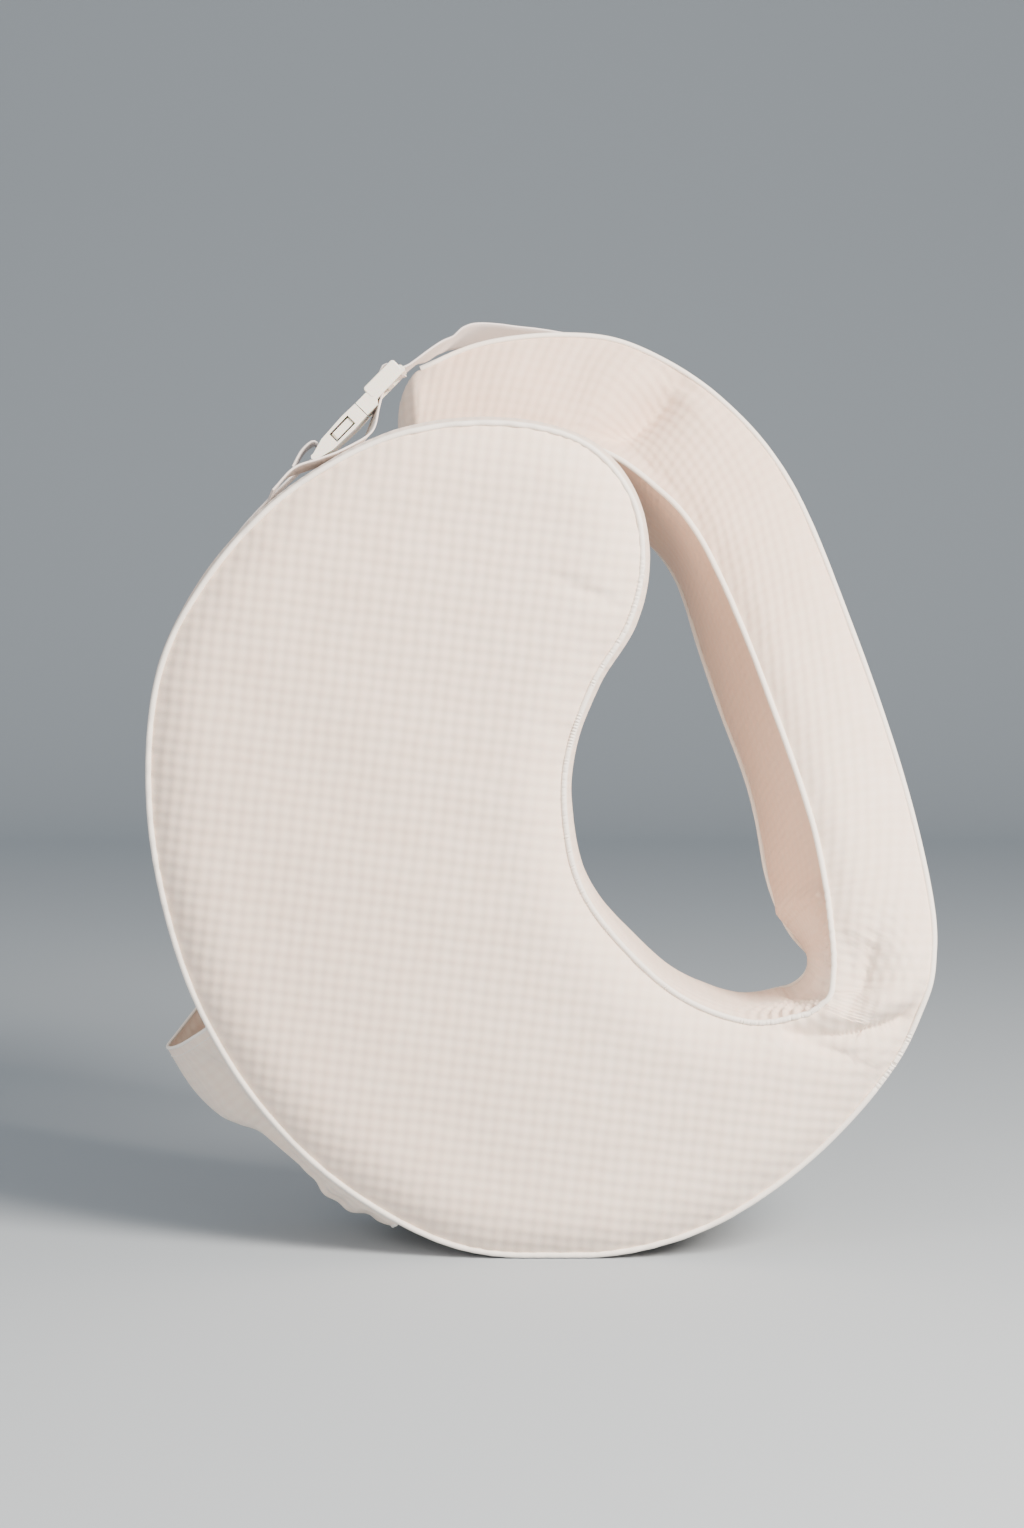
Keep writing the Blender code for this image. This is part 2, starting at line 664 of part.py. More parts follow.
# ---- webbing ----
def make_short_strap(parent):
    """Webbing from the crescent's side band, round the socket's bar and sewn back on itself."""
    y = BUCKLE_DEPTH_PLACE - 0.012
    rear = -SOCKET_LENGTH
    clear = REAR_BAR_HALF + WEBBING_THICKNESS / 2 + 0.0013
    bar = rear + BAR / 2
    anchored = [side_band(s, y, lift=LIFT + WEBBING_THICKNESS / 2)
                for s in (0.476, 0.488, 0.500, 0.512, 0.524, 0.536)]
    free = [side_band(0.552, y + 0.004, lift=LIFT + 0.0030),
            in_buckle(rear - 0.018, -0.002, -0.0030), in_buckle(rear - 0.006, 0, -clear)]
    turn = [in_buckle(bar - 0.001, 0, -clear), in_buckle(bar + clear * 0.8, 0, -clear * 0.7),
            in_buckle(bar + clear * 1.05, 0, 0.0), in_buckle(bar + clear * 0.8, 0, clear * 0.7),
            in_buckle(bar - 0.001, 0, clear)]
    back = [in_buckle(rear - 0.006, 0, clear - 0.0004), in_buckle(rear - 0.016, -0.001, 0.0008)]
    route = smooth_route(anchored + free + turn + back, 0.0034)
    finish_mesh("strap_webbing_short", tape(route, WEBBING_WIDTH, WEBBING_THICKNESS), parent,
                strap_webbing())
    lift = LIFT * 2 + WEBBING_THICKNESS + PATCH_THICKNESS / 2
    patch = [side_band(s, y, lift=lift) for s in np.linspace(0.470, 0.490, 5)]
    finish_mesh("strap_patch_short", tape(patch, WEBBING_WIDTH + 0.008, PATCH_THICKNESS), parent,
                waffle_knit())


ANCHOR_T = (0.80, 0.815, 0.83, 0.845)      # where the long strap lies on the arm's outer band


def arm_band_top(t, lift, u=0.5):
    """Point of the arm's outer band with a lift over it; u is 1 at the front seam."""
    across = arm_frame(t)[2]
    return arm_point(t, "outer", u, 0.0, 0.0) - across * lift


def make_long_strap(parent):
    """Webbing from the arm's outer band, through the plug's ladder and out as a loose tail."""
    middle = SHOULDER + SHOULDER_SLOPE + SLOT + BAR / 2
    lift = LIFT * 2 + WEBBING_THICKNESS / 2
    anchored = [arm_band_top(t, lift) for t in ANCHOR_T]
    rise = [arm_band_top(0.860, 0.0035, 0.52), arm_band_top(0.875, 0.0050, 0.60),
            arm_band_top(0.890, 0.0065, 0.72), arm_band_top(0.905, 0.0080, 0.88)]
    leave = [in_buckle(0.089, 0.062, -0.0190), in_buckle(0.077, 0.038, -0.0125),
             in_buckle(0.065, 0.017, -0.0090), in_buckle(0.053, 0.004, -0.0068)]
    weave = ((0.0130, -0.0056), (0.0090, -0.0042), (0.0066, -0.0024), (0.0051, -0.0002),
             (0.0044, 0.0020), (0.0026, 0.0042), (0.0, 0.0046), (-0.0026, 0.0042),
             (-0.0044, 0.0020), (-0.0051, -0.0002), (-0.0066, -0.0024), (-0.0090, -0.0044),
             (-0.0120, -0.0064))
    ladder = [in_buckle(middle + along, 0, high) for along, high in weave]
    tail = [in_buckle(0.003, -0.001, -0.0120)]
    tail += [side_band(share, y, lift=lift + off)
             for share, y, off in ((0.606, 0.028, 0.0030), (0.594, 0.010, 0.0006),
                                   (0.585, 0.000, 0.0028), (0.576, -0.008, 0.0062),
                                   (0.566, -0.014, 0.0020))]
    route = smooth_route(anchored + rise + leave + ladder + tail, 0.0036)
    flat = arm_band_top(ANCHOR_T[1], 0.0, 0.4) - arm_band_top(ANCHOR_T[1], 0.0, 0.6)
    flat.normalize()
    finish_mesh("strap_webbing_long", tape(route, WEBBING_WIDTH, WEBBING_THICKNESS, flat), parent,
                strap_webbing())
    over = flat.cross(route[0] - route[1]).normalized()
    over *= (WEBBING_THICKNESS + PATCH_THICKNESS) / 2 + LIFT
    patch = [p + over * math.copysign(1, over.z) for p in route[1:9]]
    rings = tape(patch, WEBBING_WIDTH + 0.008, PATCH_THICKNESS, flat, flat)
    finish_mesh("strap_patch_long", rings, parent, waffle_knit())


# ---- pocket on the lower left side band ----
POCKET_MOUTH = 0.3595
POCKET_HEM = 0.2475


def pocket_reach(x):
    """How far the pocket stands out from the band: x is 0 at its mouth and 1 at its hem."""
    return POCKET_REACH * (1 - ease(x * 1.35)) + 0.011 * math.sin(math.pi * min(1.0, x)) ** 2


def pocket_point(x, v, lift):
    share = POCKET_MOUTH + (POCKET_HEM - POCKET_MOUTH) * x
    half = POCKET_WIDTH / 2
    arch = math.sqrt(max(0.0, 1 - (2 * v - 1) ** 2))
    return side_band(share, half * (2 * v - 1), lift=LIFT + lift + pocket_reach(x) * arch)


def make_pocket(parent):
    """Gathered pocket panel, its bound mouth and the elastic in its hem."""
    across = [0.5 - 0.5 * math.cos(math.pi * i / 10) for i in range(11)]
    along = [i / 12 for i in range(13)]
    outer = [[pocket_point(x, v, COVER_THICKNESS) for v in across] for x in along]
    inner = [[pocket_point(x, v, 0.0) for v in across] for x in along]
    finish_mesh("pocket_panel", sheet_solid(outer, inner), parent, waffle_knit())
    start = -0.0006 / (SEAM.length * (POCKET_MOUTH - POCKET_HEM))
    bind = start - 0.004 / (SEAM.length * (POCKET_MOUTH - POCKET_HEM))
    outer = [[pocket_point(x, v, COVER_THICKNESS + 0.0004) for v in across] for x in (start, bind)]
    inner = [[pocket_point(x, v, -0.0002) for v in across] for x in (start, bind)]
    finish_mesh("pocket_binding", sheet_solid(outer, inner), parent, piping_cotton())
    end = 1 + 0.0008 / (SEAM.length * (POCKET_MOUTH - POCKET_HEM))
    hem = end + 0.006 / (SEAM.length * (POCKET_MOUTH - POCKET_HEM))
    outer = [[pocket_point(x, v, 0.0024) for v in across[1:-1]] for x in (end, hem)]
    inner = [[pocket_point(x, v, 0.0) for v in across[1:-1]] for x in (end, hem)]
    finish_mesh("pocket_hem_elastic", sheet_solid(outer, inner), parent, strap_webbing())


# ---- zipper in the back panel ----
ZIPPER_X = -0.235 * CUSHION_WIDTH
ZIPPER_LOW = 0.330 * CUSHION_HEIGHT
BACK_Y = HALF_DEPTH + FACE_CROWN


def box(name, low, high, parent, made):
    bm = bmesh.new()
    bmesh.ops.create_cube(bm, size=1.0)
    size = Vector(high) - Vector(low)
    bm.transform(Matrix.Translation((Vector(low) + Vector(high)) / 2) @ Matrix.Diagonal((*size, 1)))
    return finish_mesh(name, bm, parent, made)


def make_zipper(parent, back_panel):
    """Zipper let into a slot of the back panel: tapes, coil and end stops."""
    coil = ZIPPER_COIL_WIDTH / 2
    tape_in = coil + ZIPPER_GAP
    tape_out = tape_in + ZIPPER_TAPE_WIDTH
    low, high = ZIPPER_LOW, ZIPPER_LOW + ZIPPER_LENGTH
    slot = tape_out + ZIPPER_GAP
    tool = box("zipper_slot", (ZIPPER_X - slot, BACK_Y - 0.01, low - ZIPPER_GAP),
               (ZIPPER_X + slot, BACK_Y + 0.01, high + ZIPPER_GAP), parent, waffle_knit())
    boolean(back_panel, tool, "DIFFERENCE")
    for name, a, b in (("zipper_tape_left", -tape_out, -tape_in),
                       ("zipper_tape_right", tape_in, tape_out)):
        box(name, (ZIPPER_X + a, BACK_Y - 0.0014, low), (ZIPPER_X + b, BACK_Y - 0.0002, high),
            parent, zipper_nylon())
    end = 0.004
    box("zipper_coil", (ZIPPER_X - coil, BACK_Y - 0.0014, low + end + ZIPPER_GAP),
        (ZIPPER_X + coil, BACK_Y + 0.0006, high - end - ZIPPER_GAP), parent, zipper_nylon())
    for name, z in (("zipper_bottom_stop", low), ("zipper_top_stop", high - end)):
        box(name, (ZIPPER_X - coil, BACK_Y - 0.0014, z), (ZIPPER_X + coil, BACK_Y + 0.0022, z + end),
            parent, slider_zinc())


SLIDER_LENGTH = 0.011
SLIDER_LOW = ZIPPER_LOW + 0.004 + 2 * ZIPPER_GAP
SLIDER_Y = BACK_Y + 0.0006 + ZIPPER_GAP
KNUCKLE = Vector((ZIPPER_X, SLIDER_Y + 0.0042, SLIDER_LOW + SLIDER_LENGTH * 0.62))


def make_slider(parent):
    """Slider body with two lugs that hold the pull."""
    z = SLIDER_LOW
    node = box("zipper_slider", (ZIPPER_X - 0.0045, SLIDER_Y, z),
               (ZIPPER_X + 0.0045, SLIDER_Y + 0.0024, z + SLIDER_LENGTH), parent, slider_zinc())
    for i, x in enumerate((-0.0032, 0.0020)):
        lug = box(f"slider_lug_{i}", (ZIPPER_X + x, SLIDER_Y + 0.0012, KNUCKLE.z - 0.0014),
                  (ZIPPER_X + x + 0.0012, SLIDER_Y + 0.0058, KNUCKLE.z + 0.0014), parent,
                  slider_zinc())
        boolean(node, lug, "UNION")


def make_pull(parent):
    """Pull tab that hangs from its knuckle."""
    outline = ((0.0010, 0.0012), (-0.0010, 0.0012), (-0.0014, -0.0030), (-0.0036, -0.0060),
               (-0.0040, -0.0200), (-0.0028, -0.0230), (0.0028, -0.0230), (0.0040, -0.0200),
               (0.0036, -0.0060), (0.0014, -0.0030))
    def place(x, z, y):
        return KNUCKLE + Vector((x, y, z))
    finish_mesh("zipper_pull", prism(outline, -0.0006, 0.0006, place), parent, slider_zinc())


def make_label(parent):
    """Blank care label on the back panel."""
    low = Vector((ZIPPER_X + 0.030, BACK_Y + 0.0004, ZIPPER_LOW + 0.010))
    box("care_label", low, low + Vector((0.034, 0.0006, 0.022)), parent, label_satin())


# ---- the whole pillow ----
def clear_scene():
    for item in list(bpy.data.objects):
        bpy.data.objects.remove(item)


def stand_on_origin(root):
    """Move the root so that the box of all pieces stands on the origin, centred."""
    bpy.context.view_layer.update()
    shown = bpy.context.evaluated_depsgraph_get()
    low = Vector((math.inf,) * 3)
    high = Vector((-math.inf,) * 3)
    for node in bpy.data.objects:
        if node.type != "MESH" or node.hide_render:
            continue
        for corner in node.evaluated_get(shown).bound_box:
            p = node.matrix_world @ Vector(corner)
            low = Vector(map(min, low, p))
            high = Vector(map(max, high, p))
    root.location = -Vector(((low.x + high.x) / 2, (low.y + high.y) / 2, low.z))


def make_pillow():
    clear_scene()
    root = pivot("pillow", (0, 0, 0))
    back_panel = make_crescent(root)
    make_pocket(root)
    make_short_strap(root)
    make_socket(root)
    make_zipper(root, back_panel)
    make_label(root)
    slider = pivot("slider_rail", KNUCKLE, root)
    make_slider(slider)
    make_pull(pivot("pull_hinge", KNUCKLE, slider))
    arm = pivot("elbow_hinge", (PIVOT[0], 0, PIVOT[1]), root)
    make_arm(arm)
    make_long_strap(arm)
    make_plug(arm)
    for name, sign in (("buckle_prong_near", -1), ("buckle_prong_far", 1)):
        root_place = in_buckle(PRONG_ROOT - 0.001, PRONG_MIDDLE * sign, 0)
        make_prong(name, sign, pivot(name + "_hinge", root_place, arm))
    stand_on_origin(root)


make_pillow()
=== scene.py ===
import math

import bmesh
import bpy
import numpy as np
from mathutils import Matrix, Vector, noise


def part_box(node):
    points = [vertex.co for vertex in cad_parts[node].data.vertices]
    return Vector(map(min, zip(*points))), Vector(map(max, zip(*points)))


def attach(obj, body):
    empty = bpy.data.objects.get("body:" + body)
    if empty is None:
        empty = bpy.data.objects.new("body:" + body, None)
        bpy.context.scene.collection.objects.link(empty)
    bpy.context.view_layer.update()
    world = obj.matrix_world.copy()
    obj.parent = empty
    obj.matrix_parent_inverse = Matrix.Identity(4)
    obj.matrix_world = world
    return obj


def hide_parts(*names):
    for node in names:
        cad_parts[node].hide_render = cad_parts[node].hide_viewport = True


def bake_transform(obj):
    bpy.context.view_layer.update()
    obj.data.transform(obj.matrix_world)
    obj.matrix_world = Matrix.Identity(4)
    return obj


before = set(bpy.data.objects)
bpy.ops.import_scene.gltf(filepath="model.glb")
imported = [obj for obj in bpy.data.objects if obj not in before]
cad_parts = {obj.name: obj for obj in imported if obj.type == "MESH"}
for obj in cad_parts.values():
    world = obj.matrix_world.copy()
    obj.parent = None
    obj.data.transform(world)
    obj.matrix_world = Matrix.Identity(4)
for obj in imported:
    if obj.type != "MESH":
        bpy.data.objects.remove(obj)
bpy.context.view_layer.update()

# ---- View, floor and light ----
# The pillow stands on a plain pale studio floor that curves up behind it. A large soft light hangs
# in front and to the right, a weaker one fills the left, and the sky light is even.
CAMERA_PLACE = (-0.0166, -2.1264, 0.4420)
CAMERA_TILT = math.radians(86.5)                # a little below level
camera_data = bpy.data.cameras.new("studio_camera")
camera_data.lens = 73.6
camera_data.sensor_width = 36.0
camera = bpy.data.objects.new("studio_camera", camera_data)
bpy.context.scene.collection.objects.link(camera)
camera.location = CAMERA_PLACE
camera.rotation_euler = (CAMERA_TILT, 0.0, 0.0)
bpy.context.scene.camera = camera


def linear(hex_colour):
    """An sRGB hex colour as linear RGBA."""
    c = [int(hex_colour[i:i + 2], 16) / 255 for i in (1, 3, 5)]
    return [x / 12.92 if x <= 0.04045 else ((x + 0.055) / 1.055) ** 2.4 for x in c] + [1.0]


def add(tree, kind, sockets=None, **settings):
    """Adds one node with its settings; a socket takes a value or another node's output."""
    made = tree.nodes.new(kind)
    for key, value in settings.items():
        setattr(made, key, value)
    for key, value in (sockets or {}).items():
        if isinstance(value, bpy.types.NodeSocket):
            tree.links.new(value, made.inputs[key])
        else:
            made.inputs[key].default_value = value
    return made


def empty_material(name):
    """A material with an empty node tree."""
    made = bpy.data.materials.new(name)
    made.use_nodes = True
    made.node_tree.nodes.clear()
    return made, made.node_tree


def finish_material(tree, shader):
    """Leads the shader to the material's surface."""
    output = add(tree, "ShaderNodeOutputMaterial")
    tree.links.new(shader.outputs["BSDF"], output.inputs["Surface"])


def painted_floor():
    """Matt emulsion paint: even, with no gloss."""
    made, tree = empty_material("matt_emulsion")
    finish_material(tree, add(tree, "ShaderNodeBsdfPrincipled",
                              {"Base Color": linear("#A2ABB3"), "Roughness": 0.9}))
    return made


FLOOR_FRONT, FLOOR_BACK, FLOOR_HALF = -4.5, 3.0, 6.0
WALL_TOP, SWEEP_RADIUS = 6.0, 1.2
FLOOR_DROP = 0.0002                             # keeps the floor just under the lowest cloth


def sweep_floor():
    """Floor that turns up into a wall behind the object, as one curved sheet."""
    mesh = bpy.data.meshes.new("studio_floor")
    profile = [(FLOOR_FRONT, 0.0), (FLOOR_BACK, 0.0)]
    profile += [(FLOOR_BACK + SWEEP_RADIUS * math.sin(a), SWEEP_RADIUS - SWEEP_RADIUS * math.cos(a))
                for a in np.linspace(0.1, math.pi / 2, 14)]
    profile.append((FLOOR_BACK + SWEEP_RADIUS, WALL_TOP))
    verts = [(x, y, z) for y, z in profile for x in (-FLOOR_HALF, FLOOR_HALF)]
    faces = [(2 * i, 2 * i + 1, 2 * i + 3, 2 * i + 2) for i in range(len(profile) - 1)]
    mesh.from_pydata(verts, [], faces)
    mesh.shade_smooth()
    mesh.materials.append(painted_floor())
    floor = bpy.data.objects.new("studio_floor", mesh)
    bpy.context.scene.collection.objects.link(floor)
    floor.location.z = -FLOOR_DROP


def soft_light(name, place, aim, size, power, colour):
    """A square softbox of a size in metres and a power in watts, aimed at a point."""
    light = bpy.data.lights.new(name, "AREA")
    light.shape = "RECTANGLE"
    light.size = size
    light.size_y = size
    light.energy = power
    light.color = linear(colour)[:3]
    lamp = bpy.data.objects.new(name, light)
    bpy.context.scene.collection.objects.link(lamp)
    lamp.location = place
    lamp.rotation_euler = (Vector(aim) - Vector(place)).to_track_quat("-Z", "Y").to_euler()


sweep_floor()
soft_light("key_softbox", (1.25, -1.45, 1.45), (0.0, 0.0, 0.25), 0.9, 166, "#FFF3E6")
soft_light("fill_softbox", (-1.9, -1.8, 1.5), (0.0, 0.0, 0.3), 1.4, 31, "#FFF3E8")
world = bpy.data.worlds.new("even_sky")
bpy.context.scene.world = world
world.use_nodes = True
sky = world.node_tree.nodes["Background"]
sky.inputs["Color"].default_value = linear("#E6EAEE")
sky.inputs["Strength"].default_value = 0.64


# ---- Cover of the crescent ----
# The wide part of the removable cover: a front and a back panel of quilted waffle knit, joined by
# a side band that runs all the way round. The fibre insert fills it tight, so the faces crown.
SEAM_WIDTH, SEAM_HEIGHT = 0.492, 0.530         # crescent, seam to seam
SEAM_LIFT = 0.003                              # height of the lowest seam over the floor
HALF_DEPTH = 0.065                             # half the side band, between its two seams
FACE_CROWN, BAND_CROWN = 0.013, 0.006          # how far the stuffed panels stand out
CROWN_REACH = 0.045                            # distance from a seam to the full crown
SEAM_OUT = 0.005                               # the filling pushes the seams out to the side bands
FLOOR_REACH = 0.012                            # height over which that fades out near the floor
TURN_REACH = 0.050                             # length over which a seam turns into the elbow
STAND = np.array((0.0013, -0.0651, 0.0))       # the pattern's middle, in the object's frame
# The seam line as shares of the width and height: from the outer end of the elbow along the
# bottom, the left and the top to the tip, and back along the inside to the elbow.
SEAM_LINE = (
    (0.502, 0.331), (0.452, 0.236), (0.358, 0.134), (0.240, 0.053), (0.122, 0.010), (0.015, 0.000),
    (-0.095, 0.012), (-0.205, 0.062), (-0.305, 0.134), (-0.394, 0.236), (-0.459, 0.364),
    (-0.496, 0.528), (-0.488, 0.688), (-0.433, 0.802), (-0.331, 0.908), (-0.200, 0.978),
    (-0.071, 0.998), (0.041, 0.980), (0.104, 0.925), (0.123, 0.851),
    (0.106, 0.774), (0.059, 0.700), (0.025, 0.610), (0.022, 0.528), (0.043, 0.444),
    (0.098, 0.372), (0.179, 0.306), (0.274, 0.274), (0.350, 0.286), (0.394, 0.318))
TIP_INDEX = 19                                 # the point of the line that is the tip
CURVE_STEPS = 24                               # points made between two given ones


def smooth_curve(points, steps=CURVE_STEPS):
    """Catmull-Rom curve through the points, as a dense array."""
    p = np.array(points, dtype=float)
    p = np.vstack((2 * p[0] - p[1], p, 2 * p[-1] - p[-2]))
    t = (np.arange(steps) / steps)[:, None]
    runs = [0.5 * (2 * p[i] + (p[i + 1] - p[i - 1]) * t
                   + (2 * p[i - 1] - 5 * p[i] + 4 * p[i + 1] - p[i + 2]) * t * t
                   + (3 * p[i] - p[i - 1] - 3 * p[i + 1] + p[i + 2]) * t ** 3)
            for i in range(1, len(p) - 2)]
    return np.vstack(runs + [p[-2:-1]])


def run_length(points):
    """Length along a path at each of its points."""
    steps = np.linalg.norm(np.diff(points, axis=0), axis=1)
    return np.concatenate(([0.0], np.cumsum(steps)))


class Line:
    """A smooth line that gives its points at shares of its length."""

    def __init__(self, points, steps=CURVE_STEPS):
        self.dense = smooth_curve(points, steps)
        self.at = run_length(self.dense)
        self.length = float(self.at[-1])

    def point(self, share):
        s = np.clip(share, 0.0, 1.0) * self.length
        return np.stack([np.interp(s, self.at, self.dense[:, c])
                         for c in range(self.dense.shape[1])], -1)

    def direction(self, share):
        step = 0.004 / self.length
        return unit(self.point(share + step) - self.point(share - step))


def unit(v):
    """Vectors at length 1."""
    return v / np.maximum(np.linalg.norm(v, axis=-1, keepdims=True), 1e-12)


def ease(x):
    """Runs smoothly from 0 to 1 as x does, and is level outside."""
    x = np.clip(x, 0.0, 1.0)
    return x * x * (3 - 2 * x)


def crown(distance, height, reach=CROWN_REACH):
    """Stuffed profile: steep beside the seam and level past the reach."""
    return height * (1 - (1 - np.clip(distance / reach, 0.0, 1.0)) ** 3)


seam = Line([(x * SEAM_WIDTH, z * SEAM_HEIGHT + SEAM_LIFT) for x, z in SEAM_LINE])
tip_share = seam.at[TIP_INDEX * CURVE_STEPS] / seam.length
elbow_outer, elbow_inner = seam.point(0.0), seam.point(1.0)
elbow_across = unit(elbow_inner - elbow_outer)
elbow_along = np.array((elbow_across[1], -elbow_across[0]))


def seam_normal(share):
    """Out of the crescent in its own plane, turning into the elbow's line at both ends."""
    d = seam.direction(share)
    normal = np.stack((-d[..., 1], d[..., 0]), -1)
    near_outer = ease(1 - share * seam.length / TURN_REACH)[..., None]
    near_inner = ease(1 - (1 - share) * seam.length / TURN_REACH)[..., None]
    normal = normal * (1 - near_outer) - elbow_across * near_outer
    return unit(normal * (1 - near_inner) + elbow_across * near_inner)


near_floor = np.exp(-np.maximum(seam.dense[:, 1:], 0.0) / FLOOR_REACH)
seam.dense = seam.dense + seam_normal(seam.at / seam.length) * SEAM_OUT * (1 - near_floor)


def side_band(share, y, lift=0.0):
    """Points of the crescent's side band at shares of the seam line and depths y."""
    share, y = np.broadcast_arrays(np.asarray(share, float), np.asarray(y, float))
    out = crown(HALF_DEPTH - np.abs(y), BAND_CROWN) + lift
    p = seam.point(share) + seam_normal(share) * np.asarray(out)[..., None]
    return np.stack((p[..., 0], y, np.maximum(p[..., 1], 0.0)), -1)


def seam_near(p):
    """Distance from points in the XZ plane to the seam line, and the length along it there."""
    flat = p.reshape(-1, 2)
    away, along = np.empty(len(flat)), np.empty(len(flat))
    batch = 4000                                 # points at a time, to spare memory
    for i in range(0, len(flat), batch):
        d = np.linalg.norm(flat[i:i + batch, None] - seam.dense[None], axis=2)
        away[i:i + batch], along[i:i + batch] = d.min(axis=1), seam.at[d.argmin(axis=1)]
    return away.reshape(p.shape[:-1]), along.reshape(p.shape[:-1])


half_turn = np.pi * np.linspace(0, 1, 61)
ACROSS_FACE = 0.5 - 0.5 * np.cos(half_turn) * (1 - 0.25 * np.sin(half_turn) ** 2)
ACROSS_BAND = np.linspace(0, 1, 37)
RUNGS = 460                                      # rows from the tip to the elbow
LEAN = math.radians(-7)                          # the knit's grain leans a little on the faces
GRAIN = np.array(((math.cos(LEAN), -math.sin(LEAN)), (math.sin(LEAN), math.cos(LEAN))))


def crescent_panel(side, taus):
    """Rows of one panel from rung to rung: points, pattern coordinates, seam distance, length."""
    outer_share = tip_share * (1 - taus)
    inner_share = tip_share + (1 - tip_share) * taus
    if side in ("outer", "inner"):
        share = (outer_share if side == "outer" else inner_share)[:, None]
        y = HALF_DEPTH * (2 * ACROSS_BAND - 1)[None]
        along = share * seam.length + 0 * y
        pattern = np.stack((along, y + 0 * along), -1)
        return side_band(share, y), pattern, HALF_DEPTH - np.abs(y) + 0 * along, along
    u = ACROSS_FACE[None, :, None]
    flat = seam.point(outer_share)[:, None] * (1 - u) + seam.point(inner_share)[:, None] * u
    away, along = seam_near(flat)
    y = HALF_DEPTH + crown(away, FACE_CROWN)
    points = np.stack((flat[..., 0], y if side == "back" else -y,
                       np.maximum(flat[..., 1], 0.0)), -1)
    return points, flat @ GRAIN, away, along


# ---- Cover of the arm ----
# The slim arm goes on from the crescent at the elbow. It leans back, folds again at the top and
# ends in a flat end panel behind the crescent. Its four panels carry on the crescent's.
ARM_DEPTH = 0.096                                # front seam to back seam past the elbow
ARM_CROWN, ARM_BAND_CROWN, END_CROWN = 0.009, 0.004, 0.019
ELBOW_GAP = 0.0008                               # from the elbow's line to the arm's first row
SLANT_FRONT, SLANT_BACK = 0.005, 0.011           # how far the pull slants the inner side band
# The front seams of the arm: shares of the crescent's width and height, and metres behind its
# front seam.
ARM_OUTER_EDGE = (
    (0.506, 0.415, 0.018), (0.478, 0.560, 0.052), (0.417, 0.748, 0.090), (0.340, 0.935, 0.129),
    (0.248, 1.045, 0.158), (0.135, 1.112, 0.174), (0.040, 1.128, 0.178), (-0.075, 1.117, 0.178),
    (-0.170, 1.082, 0.177))
ARM_INNER_EDGE = (
    (0.394, 0.380, 0.010), (0.368, 0.505, 0.034), (0.318, 0.655, 0.070), (0.230, 0.868, 0.112),
    (0.156, 0.955, 0.138), (0.082, 0.998, 0.152), (0.030, 0.990, 0.157), (-0.070, 0.972, 0.158),
    (-0.160, 0.946, 0.158))


def arm_edge(start, points):
    """A front seam of the arm, from its end of the elbow."""
    first = start + elbow_along * ELBOW_GAP
    scaled = [(x * SEAM_WIDTH, back - HALF_DEPTH, z * SEAM_HEIGHT + SEAM_LIFT)
              for x, z, back in points]
    return Line([(first[0], -HALF_DEPTH, first[1])] + scaled)


arm_outer, arm_inner = arm_edge(elbow_outer, ARM_OUTER_EDGE), arm_edge(elbow_inner, ARM_INNER_EDGE)


def arm_section(t):
    """Front seam points of the arm, and the directions across it and into its depth."""
    outer, inner = arm_outer.point(t), arm_inner.point(t)
    across = unit(inner - outer)
    into = unit(np.cross(across, arm_outer.direction(t) + arm_inner.direction(t)))
    into = into * np.where(into[..., 1:2] < 0, -1.0, 1.0)
    square = ease(t / 0.14)[..., None]
    outer, inner = outer - across * SEAM_OUT, inner + across * SEAM_OUT
    return outer, inner, across, unit(np.array((0.0, 1.0, 0.0)) * (1 - square) + into * square)


PAST_ELBOW = 2.0                                 # added to lengths along the arm, to tell them apart


def arm_panel(side, ts):
    """Rows of one panel of the arm, laid out across as the crescent's panels are."""
    outer, inner, across, into = arm_section(ts)
    depth = (2 * HALF_DEPTH + (ARM_DEPTH - 2 * HALF_DEPTH) * ease(ts / 0.20))[:, None]
    grown = ease(ts / 0.16)[:, None]
    slant = (ease(ts / 0.22) * ease((0.75 - ts) / 0.35))[:, None] * across
    front_inner, back_inner = inner - slant * SLANT_FRONT, inner + into * depth + slant * SLANT_BACK
    face = side in ("front", "back")
    height = ((FACE_CROWN if face else BAND_CROWN) * (1 - grown)
              + (ARM_CROWN if face else ARM_BAND_CROWN) * grown)
    a, b = {"front": (outer, front_inner), "back": (outer + into * depth, back_inner),
            "outer": (outer, outer + into * depth), "inner": (front_inner, back_inner)}[side]
    out = {"front": -into, "back": into, "outer": -across, "inner": across}[side]
    u = (ACROSS_FACE if face else ACROSS_BAND)[None]
    span = np.linalg.norm(b - a, axis=1)[:, None]
    away = span * np.minimum(u, 1 - u)
    lift = crown(away, height, np.minimum(CROWN_REACH, span / 2))
    points = a[:, None] * (1 - u[..., None]) + b[:, None] * u[..., None] + out[:, None] * lift[..., None]
    along = (ts * arm_outer.length)[:, None] + 0 * u
    if face:
        start = seam.dense[0] * (1 - u[..., None]) + seam.dense[-1] * u[..., None]
        wider = (span - span[0]) * (u - 0.5)
        pattern = (start + elbow_along * along[..., None] + elbow_across * wider[..., None]) @ GRAIN
    else:
        turned = -along if side == "outer" else seam.length + along
        pattern = np.stack((turned, span * (u - 0.5)), -1)
    return points, pattern, away, along + PAST_ELBOW


